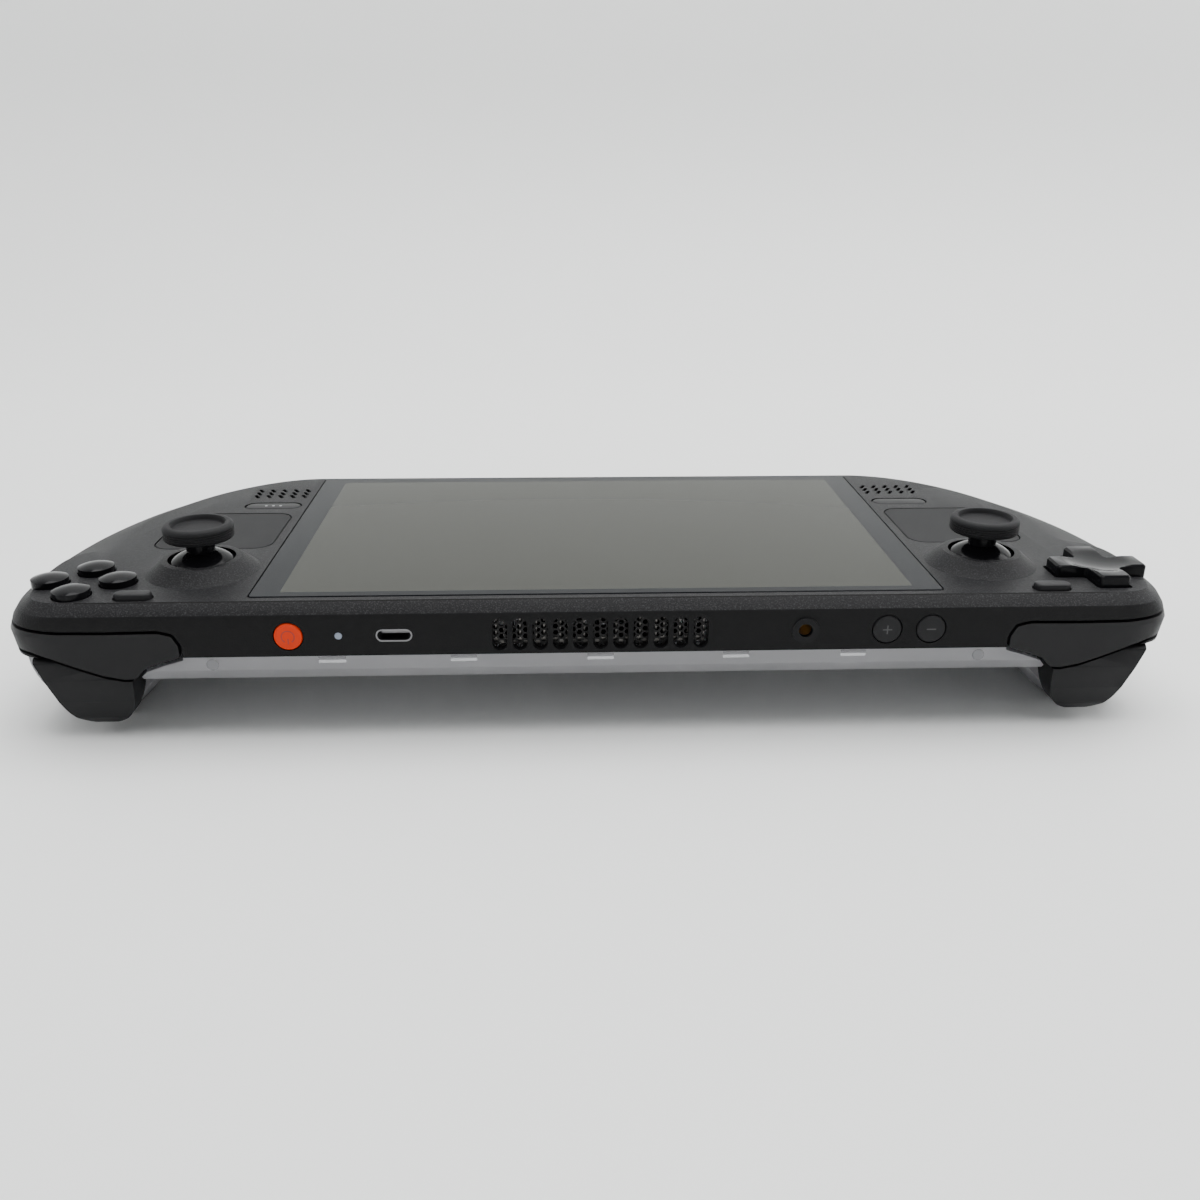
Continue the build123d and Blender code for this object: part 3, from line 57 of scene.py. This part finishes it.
# Square light panels: side in metres, watts, place, and the point they face
light_panels = (
    ("ceiling_light", 1.5, 34, (0.1, 0.25, 1.25), (0, 0, 0)),
    ("right_light", 0.7, 7, (1.15, 0.15, 0.75), (0.05, 0, 0.02)),
    ("left_light", 0.7, 4, (-1.2, -0.2, 0.8), (0, 0, 0.02)),
)
sky_colour = (0.88, 0.89, 0.9, 1)
sky_strength = 0.5

# Floor sweep in metres: flat floor, a bend of so many degrees, a wall that leans back
sweep_half = 4
bend_start_y = 0.34
bend_radius = 0.22
bend_turn = 82
bend_steps = 12
wall_top_y = 0.98
wall_top_z = 3.4

# Places on the console that the finishes follow, in millimetres
# Where the painted shade line runs along the crease between the face and the bevel, its half width and its
# reach across
bevel_line_y = -55.32
bevel_line_half = 0.12
bevel_line_reach = 128.0
display_half_length = 79.7
display_half_depth = 49.8
socket_collar_y = -57.0

# Height of a face's normal where the shell's side ends and where its top begins: the top gets a painted
# lighter tone as if lit from above, the side keeps the darker tone as painted shade
side_normal = 0.12
top_normal = 0.5
# Height of the grain where a pale speck begins and where it is full
speck_start = 0.5
speck_full = 0.72
speck_colour = (0.036, 0.036, 0.038)
# Painted light: the lighter colour of the shell's upward faces; the sides keep the darker base colour as
# painted shade
lit_top_colour = (0.010, 0.010, 0.011)
# Painted shade: near-black colour of the thin line in the crease between face and bevel
bevel_crease_shade_colour = (0.001, 0.001, 0.001)
display_colour = (0.041, 0.042, 0.036)
collar_colour = (0.008, 0.008, 0.009)

# Grain that all finishes share: noise detail, bump distance in metres, and the scale
# of the broad drift
grain_detail = 3
drift_detail = 4
grain_height = 0.0001
drift_size = 40.0
shell_drift_size = 30.0

# Finishes: colour, the colour it drifts to, roughness and how far it drifts, scale
# and depth of the grain, and sockets set on the shader itself
special_finishes = {
    "shell_black": (
        (0.0045, 0.0045, 0.005), (0.0065, 0.0065, 0.007), 0.5, 0.06, 2900, 1.0,
        {"Specular IOR Level": 0.13}, shell_drift_size),
    "glass_black": (
        (0.006, 0.007, 0.009), (0.008, 0.009, 0.011), 0.06, 0.01, 900, 0.01, {"Specular IOR Level": 0.06}),
    "jack_mouth": (
        (0.60, 0.45, 0.22), (0.68, 0.52, 0.28), 0.36, 0.06, 1500, 0.1, {"Specular IOR Level": 0.12}),
}
plain_finishes = {
    "clear_rear": (
        (0.60, 0.597, 0.62), (0.68, 0.677, 0.70), 0.34, 0.06, 1800, 0.12,
        {"Transmission Weight": 0.72, "IOR": 1.45}),
    "gloss_black": (
        (0.005, 0.005, 0.006), (0.007, 0.007, 0.008), 0.13, 0.03, 900, 0.03, {"Specular IOR Level": 0.1}),
    "satin_black": (
        (0.009, 0.009, 0.010), (0.012, 0.012, 0.013), 0.46, 0.06, 2600, 0.25, {"Specular IOR Level": 0.18}),
    "stick_rubber": (
        (0.011, 0.011, 0.012), (0.016, 0.016, 0.017), 0.62, 0.06, 2200, 0.5, {"Specular IOR Level": 0.16}),
    "track_black": (
        (0.011, 0.011, 0.012), (0.014, 0.014, 0.015), 0.5, 0.06, 4000, 0.2, {"Specular IOR Level": 0.08}),
    "power_orange": (
        (0.64, 0.034, 0.005), (0.70, 0.043, 0.007), 0.4, 0.06, 2600, 0.15, {"Specular IOR Level": 0.1}),
    "bare_steel": ((0.55, 0.55, 0.56), (0.64, 0.64, 0.64), 0.3, 0.06, 1500, 0.1, {"Metallic": 1.0}),
    "frame_metal": ((0.45, 0.45, 0.46), (0.5, 0.5, 0.5), 0.4, 0.06, 1500, 0.1, {"Metallic": 1.0}),
    "fin_metal": ((0.15, 0.145, 0.14), (0.19, 0.18, 0.17), 0.45, 0.06, 1500, 0.1, {"Metallic": 1.0}),
    "board_green": ((0.01, 0.05, 0.035), (0.015, 0.065, 0.045), 0.4, 0.06, 900, 0.2),
    "inner_black": ((0.01, 0.01, 0.01), (0.015, 0.015, 0.015), 0.5, 0.06, 1500, 0.2),
    "battery_wrap": ((0.02, 0.02, 0.022), (0.028, 0.028, 0.03), 0.35, 0.06, 800, 0.2),
    "mat_grey": ((0.25, 0.25, 0.26), (0.3, 0.3, 0.3), 0.6, 0.06, 1500, 0.2),
    "mesh_black": (
        (0.008, 0.008, 0.008), (0.011, 0.011, 0.011), 0.45, 0.06, 1500, 0.2, {"Specular IOR Level": 0.2}),
    "light_white": ((0.22, 0.26, 0.34), (0.26, 0.30, 0.38), 0.3, 0.06, 900, 0.05),
    "floor_white": ((0.87, 0.88, 0.87), (0.89, 0.90, 0.89), 0.5, 0.06, 120, 0.02),
    "port_dark": ((0.16, 0.16, 0.165), (0.2, 0.2, 0.205), 0.28, 0.06, 1500, 0.1, {"Metallic": 1.0}),
    "clip_clear": ((0.50, 0.50, 0.52), (0.58, 0.58, 0.60), 0.3, 0.06, 1800, 0.1),
    "clip_smoke": ((0.16, 0.16, 0.17), (0.20, 0.20, 0.21), 0.35, 0.06, 1800, 0.1),
    "mark_red": ((0.28, 0.018, 0.006), (0.32, 0.022, 0.008), 0.5, 0.06, 2600, 0.1),
    "mark_grey": ((0.035, 0.035, 0.037), (0.045, 0.045, 0.047), 0.5, 0.06, 2600, 0.1),
    "mark_pale": ((0.33, 0.33, 0.34), (0.38, 0.38, 0.39), 0.45, 0.06, 2600, 0.1),
}
slot_finishes = {
    "front_plastic": "shell_black", "clear_plastic": "clear_rear", "cover_glass": "glass_black",
    "display_cells": "inner_black", "frame_metal": "frame_metal", "board_laminate": "board_green",
    "shield_tin": "bare_steel", "fin_metal": "fin_metal", "inner_plastic": "inner_black",
    "battery_wrap": "battery_wrap", "bare_steel": "bare_steel", "jack_brass": "jack_mouth",
    "mesh_steel": "mesh_black", "light_pipe": "light_white", "button_plastic": "gloss_black",
    "satin_plastic": "satin_black", "power_plastic": "power_orange", "grip_rubber": "stick_rubber",
    "mat_rubber": "mat_grey", "track_plastic": "track_black", "fan_plastic": "inner_black",
    "stem_plastic": "gloss_black",
}

# CAD nodes shown as softened copies, with the width of their rounded edges in millimetres
softened_nodes = (
    ("front_shell", 0.25), ("rear_shell", 0.3), ("left_bumper", 0.4), ("right_bumper", 0.4),
    ("left_trigger", 0.5), ("right_trigger", 0.5), ("direction_pad", 0.3),
    ("menu_button", 0.25), ("view_button", 0.25), ("quick_button", 0.2),
    ("guide_button", 0.2), ("left_trackpad", 0.3), ("right_trackpad", 0.3),
)
# Their rounding: steps across an edge, the angle in degrees from which an edge is
# rounded, the angle under which faces are merged, and a merging distance in metres
edge_steps = 2
edge_angle = 28
flat_angle = 0.6
merge_distance = 2e-6
spin_merge_distance = 1e-6

# Angles in degrees from which an edge is shaded sharp
sweep_crease = 60
copy_crease = 35
piece_crease = 35
rib_crease = 30
mark_crease = 30

# Rubber stick caps in millimetres: dish and lip as radius and height, the top of each
# rib with its steps as radius and drop, then the underside
cap_x = 103.3
cap_y = -32.3
cap_top = (
    (0, 47.45), (6.3, 47.55), (6.55, 47.8), (6.75, 48.55), (7.05, 48.95), (7.7, 49.0), (8.3, 48.85),
    (8.72, 48.45), (8.9, 47.95))
cap_rib_heights = (47.75, 47.15, 46.55, 45.95)
cap_rib_steps = ((8.9, 0.0), (8.68, 0.12), (8.68, 0.26), (8.9, 0.38))
cap_under = ((8.8, 45.3), (8.45, 45.0), (7.4, 45.0), (7.0, 45.25), (3.7, 45.3), (3.6, 45.0), (0, 45.0))
cap_steps = 128

# Clips, latches and round pads on the clear rim in millimetres: each clip's place
# across and width, then depth, height and corner of clips and of latches
rim_clips = ((-66.4, 6.8), (-34.0, 6.6), (0.0, 6.6), (34.0, 6.6), (63.7, 6.4))
clip_y = -58.15
clip_z = 21.0
clip_depth = 0.44
clip_height = 0.9
clip_corner = 0.18
latch_y = -58.13
latch_z = 21.95
latch_depth = 0.36
latch_height = 0.6
latch_corner = 0.14
corner_steps = 3
rim_pad_x = 95.8
rim_pad_z = 20.4
rim_pad_steps = 48
rim_pad_outline = ((0, -58.45), (1.1, -58.43), (1.45, -58.32), (1.6, -58.1), (1.6, -57.0), (0, -57.0))

# Marks on the controls in millimetres and degrees
wall_mark_y = -58.49
wall_mark_z = 27.7
wall_mark_thick = 0.02
power_mark_x = -76.7
power_ring_in = 1.42
power_ring_out = 1.72
power_ring_start = 302
power_ring_end = 598
ring_steps = 32
power_bar_width = 0.32
power_bar_length = 1.5
power_bar_shift = -1.2
plus_mark_x = 71.8
minus_mark_x = 82.9
sign_length = 2.4
sign_width = 0.34
plus_arm = 1.0
plus_arm_shift = 0.68
quick_mark_place = (-97.9, 24.8, 36.0)
quick_mark_thick = 0.03
dot_places = (-2.2, 0, 2.2)
dot_in = 0.02
dot_out = 0.42
dot_turn = 350
dot_steps = 16

# Camera
yaw, pitch, roll = radians(camera_yaw), radians(camera_pitch), radians(camera_roll)
ahead = Vector((sin(yaw) * cos(pitch), cos(yaw) * cos(pitch), -sin(pitch)))
flat_right = Vector((cos(yaw), -sin(yaw), 0))
flat_up = flat_right.cross(ahead)
camera_right = cos(roll) * flat_right + sin(roll) * flat_up
camera_up = -sin(roll) * flat_right + cos(roll) * flat_up
lens = bpy.data.cameras.new("photo_camera")
lens.lens = lens_length
lens.sensor_width = sensor_width
lens.clip_start = clip_start
camera = bpy.data.objects.new("photo_camera", lens)
turn = Matrix((camera_right, camera_up, -ahead)).transposed().to_4x4()
camera.matrix_world = Matrix.Translation([value * mm for value in camera_place]) @ turn
bpy.context.collection.objects.link(camera)
bpy.context.scene.camera = camera

# Lights and the pale surroundings
for name, size, power, place, aim in light_panels:
    data = bpy.data.lights.new(name, "AREA")
    data.shape = "RECTANGLE"
    data.size = data.size_y = size
    data.energy = power
    panel = bpy.data.objects.new(name, data)
    panel.location = place
    panel.rotation_euler = (Vector(aim) - Vector(place)).to_track_quat("-Z", "Y").to_euler()
    bpy.context.collection.objects.link(panel)

world = bpy.data.worlds.new("studio")
world.use_nodes = True
background = world.node_tree.nodes["Background"]
background.inputs["Color"].default_value = sky_colour
background.inputs["Strength"].default_value = sky_strength
bpy.context.scene.world = world


def put(tree, kind, **settings):
    """Add a node and set its own settings, such as its operation."""
    node = tree.nodes.new(kind)
    for key, value in settings.items():
        setattr(node, key, value)
    return node


def join(tree, start, end):
    """Link an output to an input."""
    tree.links.new(start, end)


def make_grain():
    """Group for moulded plastic: fine grain as a normal and a mask, and broad drift as a mask."""
    tree = bpy.data.node_groups.new("moulded_grain", "ShaderNodeTree")
    for label in ("Size", "Depth", "Drift"):
        tree.interface.new_socket(label, in_out="INPUT", socket_type="NodeSocketFloat")
    tree.interface.new_socket("Normal", in_out="OUTPUT", socket_type="NodeSocketVector")
    for label in ("Drift mask", "Grain mask"):
        tree.interface.new_socket(label, in_out="OUTPUT", socket_type="NodeSocketFloat")
    start, end = put(tree, "NodeGroupInput"), put(tree, "NodeGroupOutput")
    place = put(tree, "ShaderNodeTexCoord")
    fine = put(tree, "ShaderNodeTexNoise")
    fine.inputs["Detail"].default_value = grain_detail
    broad = put(tree, "ShaderNodeTexNoise")
    broad.inputs["Detail"].default_value = drift_detail
    bump = put(tree, "ShaderNodeBump")
    bump.inputs["Distance"].default_value = grain_height
    for node, scale in ((fine, "Size"), (broad, "Drift")):
        join(tree, place.outputs["Object"], node.inputs["Vector"])
        join(tree, start.outputs[scale], node.inputs["Scale"])
    join(tree, fine.outputs["Fac"], bump.inputs["Height"])
    join(tree, start.outputs["Depth"], bump.inputs["Strength"])
    join(tree, bump.outputs["Normal"], end.inputs["Normal"])
    join(tree, broad.outputs["Fac"], end.inputs["Drift mask"])
    join(tree, fine.outputs["Fac"], end.inputs["Grain mask"])
    return tree


grain = make_grain()


def finish(name, colour, second, rough, rough_drift, size, depth, sockets=None, drift=drift_size):
    """Material whose colour and roughness drift over a moulded grain."""
    look = bpy.data.materials.new(name)
    look.use_nodes = True
    tree = look.node_tree
    shader = tree.nodes["Principled BSDF"]
    moulded = put(tree, "ShaderNodeGroup", node_tree=grain, name="grain")
    for label, value in (("Size", size), ("Depth", depth), ("Drift", drift)):
        moulded.inputs[label].default_value = value
    blend = put(tree, "ShaderNodeMix", data_type="RGBA")
    blend.inputs["A"].default_value = (*colour, 1)
    blend.inputs["B"].default_value = (*second, 1)
    join(tree, moulded.outputs["Drift mask"], blend.inputs["Factor"])
    join(tree, blend.outputs["Result"], shader.inputs["Base Color"])
    level = put(tree, "ShaderNodeMapRange")
    level.inputs["To Min"].default_value = rough - rough_drift
    level.inputs["To Max"].default_value = rough + rough_drift
    join(tree, moulded.outputs["Drift mask"], level.inputs["Value"])
    join(tree, level.outputs["Result"], shader.inputs["Roughness"])
    join(tree, moulded.outputs["Normal"], shader.inputs["Normal"])
    for key, value in (sockets or {}).items():
        shader.inputs[key].default_value = value
    return look


def tint(tree, mask, colour):
    """Blend one more colour into the shader's base colour by a mask."""
    shader = tree.nodes["Principled BSDF"]
    blend = put(tree, "ShaderNodeMix", data_type="RGBA")
    blend.inputs["B"].default_value = (*colour, 1)
    join(tree, mask, blend.inputs["Factor"])
    join(tree, shader.inputs["Base Color"].links[0].from_socket, blend.inputs["A"])
    join(tree, blend.outputs["Result"], shader.inputs["Base Color"])


def spread(tree, value, low, high):
    """Map a value to 0 at the low level and 1 at the high one."""
    node = put(tree, "ShaderNodeMapRange")
    node.inputs["From Min"].default_value = low
    node.inputs["From Max"].default_value = high
    join(tree, value, node.inputs["Value"])
    return node.outputs["Result"]


def reckon(tree, operation, *values):
    """Maths on sockets and plain numbers."""
    node = put(tree, "ShaderNodeMath", operation=operation)
    for number, value in enumerate(values):
        if isinstance(value, (int, float)):
            node.inputs[number].default_value = value
        else:
            join(tree, value, node.inputs[number])
    return node.outputs[0]


def axes(tree, kind):
    """X, Y and Z of the object's own coordinates or normals."""
    place = put(tree, "ShaderNodeTexCoord")
    split = put(tree, "ShaderNodeSeparateXYZ")
    join(tree, place.outputs[kind], split.inputs[0])
    return split.outputs


def dress_shell(tree):
    """Front shell: grained top and bevel, with painted light making the upward faces lighter so the sides
    stay darker as painted shade, and a painted shade line along the bevel's crease.
    """
    # Painted light: faces that point up get a lighter colour, the sides keep the darker one as painted
    # shade; the pale grain specks show only on these lit faces
    lit_top_mask = spread(tree, axes(tree, "Normal")["Z"], side_normal, top_normal)
    tint(tree, lit_top_mask, lit_top_colour)
    speck = spread(tree, tree.nodes["grain"].outputs["Grain mask"], speck_start, speck_full)
    tint(tree, reckon(tree, "MULTIPLY", speck, lit_top_mask), speck_colour)
    # Painted shade: a thin near-black line along the crease between face and bevel, across the middle of
    # the near edge
    spot = axes(tree, "Object")
    edge = reckon(tree, "COMPARE", spot["Y"], bevel_line_y * mm, bevel_line_half * mm)
    middle = reckon(tree, "LESS_THAN", reckon(tree, "ABSOLUTE", spot["X"]), bevel_line_reach * mm)
    tint(tree, reckon(tree, "MULTIPLY", edge, middle), bevel_crease_shade_colour)


def dress_glass(tree):
    """Cover glass: black border round the olive-grey sheen of the display that is off."""
    spot = axes(tree, "Object")
    across = reckon(tree, "COMPARE", spot["X"], 0.0, display_half_length * mm)
    along = reckon(tree, "COMPARE", spot["Y"], 0.0, display_half_depth * mm)
    tint(tree, reckon(tree, "MULTIPLY", across, along), display_colour)


def dress_socket(tree):
    """Headphone socket: brass inside, a black plastic collar outside."""
    deep = reckon(tree, "GREATER_THAN", axes(tree, "Object")["Y"], socket_collar_y * mm)
    join(tree, deep, tree.nodes["Principled BSDF"].inputs["Metallic"])
    tint(tree, reckon(tree, "SUBTRACT", 1.0, deep), collar_colour)


looks = {name: finish(name, *row) for name, row in {**special_finishes, **plain_finishes}.items()}
dress_shell(looks["shell_black"].node_tree)
dress_glass(looks["glass_black"].node_tree)
dress_socket(looks["jack_mouth"].node_tree)


def new_piece(name, form, look, body, crease, stands_for=None, slot=None):
    """Object from a finished bmesh, riding on its body, or staged where it has none."""
    mesh = bpy.data.meshes.new(name)
    form.to_mesh(mesh)
    form.free()
    for face in mesh.polygons:
        face.use_smooth = True
    mesh.set_sharp_from_angle(angle=radians(crease))
    item = bpy.data.objects.new(name, mesh)
    item.data.materials.append(looks[look])
    bpy.context.collection.objects.link(item)
    if body is None:
        return
    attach(item, body)
    if stands_for:
        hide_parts(stands_for)


def rounded(node, width):
    """Merged copy of a CAD node with its edges softened."""
    mesh = frame["nodes"][node].data.copy()
    mesh.name = node + "_round"
    form = bmesh.new()
    form.from_mesh(mesh)
    bmesh.ops.remove_doubles(form, verts=form.verts, dist=merge_distance)
    bmesh.ops.dissolve_limit(form, angle_limit=radians(flat_angle), verts=form.verts, edges=form.edges)
    form.to_mesh(mesh)
    form.free()
    item = bpy.data.objects.new(node + "_round", mesh)
    bpy.context.collection.objects.link(item)
    for face in mesh.polygons:
        face.use_smooth = True
    soft = item.modifiers.new("soft_edges", "BEVEL")
    soft.width, soft.segments, soft.limit_method = width * mm, edge_steps, "ANGLE"
    soft.angle_limit = radians(edge_angle)
    soft.harden_normals = False
    mesh.set_sharp_from_angle(angle=radians(copy_crease))
    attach(item, body_of[node])
    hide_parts(node)


def turned(name, outline, centre, look, body, along, steps, crease, **more):
    """Solid of revolution from radii and heights along the axis, both in millimetres."""
    form = bmesh.new()
    base = Vector(centre) * mm
    dots = [form.verts.new(base + Vector((r * mm, 0, 0)) + along * t * mm) for r, t in outline]
    rim = [form.edges.new(pair) for pair in zip(dots, dots[1:])]
    bmesh.ops.spin(form, geom=dots + rim, cent=base, axis=along, angle=2 * pi, steps=steps, use_merge=True)
    bmesh.ops.remove_doubles(form, verts=form.verts, dist=spin_merge_distance)
    bmesh.ops.recalc_face_normals(form, faces=form.faces)
    new_piece(name, form, look, body, crease, **more)


def soft_block(name, centre, size, radius, look):
    """Block on the rim with rounded edges, in millimetres."""
    form = bmesh.new()
    bmesh.ops.create_cube(form, size=1.0)
    for vert in form.verts:
        vert.co = Vector([(c + u * w) * mm for c, u, w in zip(centre, vert.co, size)])
    bmesh.ops.bevel(
        form, geom=list(form.edges), offset=radius * mm, offset_type="OFFSET", segments=corner_steps,
        profile=0.5, affect="EDGES", clamp_overlap=True, material=-1)
    bmesh.ops.recalc_face_normals(form, faces=form.faces)
    new_piece(name, form, look, "console", piece_crease)


def raise_marks(name, form, push, look, body):
    """Give flat marks their thickness and make them a piece."""
    bmesh.ops.recalc_face_normals(form, faces=form.faces)
    grown = bmesh.ops.extrude_face_region(form, geom=list(form.faces))
    moved = [v for v in grown["geom"] if isinstance(v, bmesh.types.BMVert)]
    bmesh.ops.translate(form, vec=push, verts=moved)
    bmesh.ops.recalc_face_normals(form, faces=form.faces)
    new_piece(name, form, look, body, mark_crease)


def wall_mark(name, outlines, x, look, body):
    """Marks on a button in the near wall."""
    form = bmesh.new()
    for outline in outlines:
        form.faces.new([
            form.verts.new(((x + u) * mm, wall_mark_y * mm, (wall_mark_z + v) * mm)) for u, v in outline])
    raise_marks(name, form, Vector((0, -wall_mark_thick * mm, 0)), look, body)


def face_mark(name, outlines, place, look, body):
    """Marks on a button in the face."""
    form = bmesh.new()
    x, y, z = place
    for outline in outlines:
        form.faces.new([form.verts.new(((x + u) * mm, (y + v) * mm, z * mm)) for u, v in outline])
    raise_marks(name, form, Vector((0, 0, quick_mark_thick * mm)), look, body)


def arc_band(inner, outer, start, end, steps):
    """Outline of a bent band between two angles in degrees."""
    angles = [radians(start + (end - start) * n / steps) for n in range(steps + 1)]
    return ([(outer * cos(a), outer * sin(a)) for a in angles]
            + [(inner * cos(a), inner * sin(a)) for a in reversed(angles)])


def bar(width, height, v=0.0):
    """Outline of a bar, moved up by a shift."""
    return [(-width / 2, v - height / 2), (width / 2, v - height / 2), (width / 2, v + height / 2),
            (-width / 2, v + height / 2)]


# Seamless sweep: floor, soft bend and wall
form = bmesh.new()
profile = [(-sweep_half, 0), (bend_start_y, 0)]
for step in range(1, bend_steps + 1):
    angle = radians(bend_turn * step / bend_steps)
    profile.append((bend_start_y + bend_radius * sin(angle), bend_radius - bend_radius * cos(angle)))
profile.append((wall_top_y, wall_top_z))
sweep = [form.verts.new((-sweep_half, y, z)) for y, z in profile]
rails = [form.edges.new(pair) for pair in zip(sweep, sweep[1:])]
grown = bmesh.ops.extrude_edge_only(form, edges=rails)["geom"]
moved = [v for v in grown if isinstance(v, bmesh.types.BMVert)]
bmesh.ops.translate(form, vec=(2 * sweep_half, 0, 0), verts=moved)
bmesh.ops.recalc_face_normals(form, faces=form.faces)
new_piece("floor_sweep", form, "floor_white", None, sweep_crease)

# Finishes of the CAD nodes, then the softened copies
slots = {part["node"]: part["material_slot"] for part in frame["record"]["subparts"]}
body_of = {node: body for body, nodes in frame["record"]["behaviour"]["bodies"].items() for node in nodes}
for node, item in frame["nodes"].items():
    item.data.materials.clear()
    item.data.materials.append(looks["port_dark" if node == "usb_c_port" else slot_finishes[slots[node]]])
for node, width in softened_nodes:
    rounded(node, width)

# Rubber caps: dish, raised lip and grooved rim
cap_outline = list(cap_top)
for height in cap_rib_heights:
    cap_outline += [(radius, height - drop) for radius, drop in cap_rib_steps]
cap_outline += cap_under
for side_name, side in sides:
    turned(
        f"{side_name}_cap_rubber", cap_outline, (side * cap_x, cap_y, 0), "stick_rubber",
        f"{side_name}_stick", Vector((0, 0, 1)), cap_steps, rib_crease,
        stands_for=f"{side_name}_stick_cap", slot="grip_rubber")

# Clips, latches and round pads moulded along the clear rim under the near wall
for number, (x, width) in enumerate(rim_clips, 1):
    soft_block(
        f"rim_clip_{number}", (x, clip_y, clip_z), (width, clip_depth, clip_height), clip_corner,
        "clip_clear")
    soft_block(
        f"rim_latch_{number}", (x, latch_y, latch_z), (width, latch_depth, latch_height), latch_corner,
        "clip_smoke")
for side_name, side in sides:
    turned(
        f"{side_name}_rim_bump", rim_pad_outline, (side * rim_pad_x, 0, rim_pad_z), "clip_smoke", "console",
        Vector((0, 1, 0)), rim_pad_steps, piece_crease)

# Generic marks: power symbol, plus, minus and three dots
power_ring = arc_band(power_ring_in, power_ring_out, power_ring_start, power_ring_end, ring_steps)
power_bar = bar(power_bar_width, power_bar_length, power_bar_shift)
sign_bar = bar(sign_length, sign_width)
plus_arms = [bar(sign_width, plus_arm, shift) for shift in (plus_arm_shift, -plus_arm_shift)]
dots = [[(c + u, v) for u, v in arc_band(dot_in, dot_out, 0, dot_turn, dot_steps)] for c in dot_places]
wall_mark("power_mark", [power_ring, power_bar], power_mark_x, "mark_red", "power_button_body")
wall_mark("volume_plus_mark", [sign_bar, *plus_arms], plus_mark_x, "mark_grey", "volume_up_button_body")
wall_mark("volume_minus_mark", [sign_bar], minus_mark_x, "mark_grey", "volume_down_button_body")
face_mark("quick_mark", dots, quick_mark_place, "mark_pale", "quick_button_body")
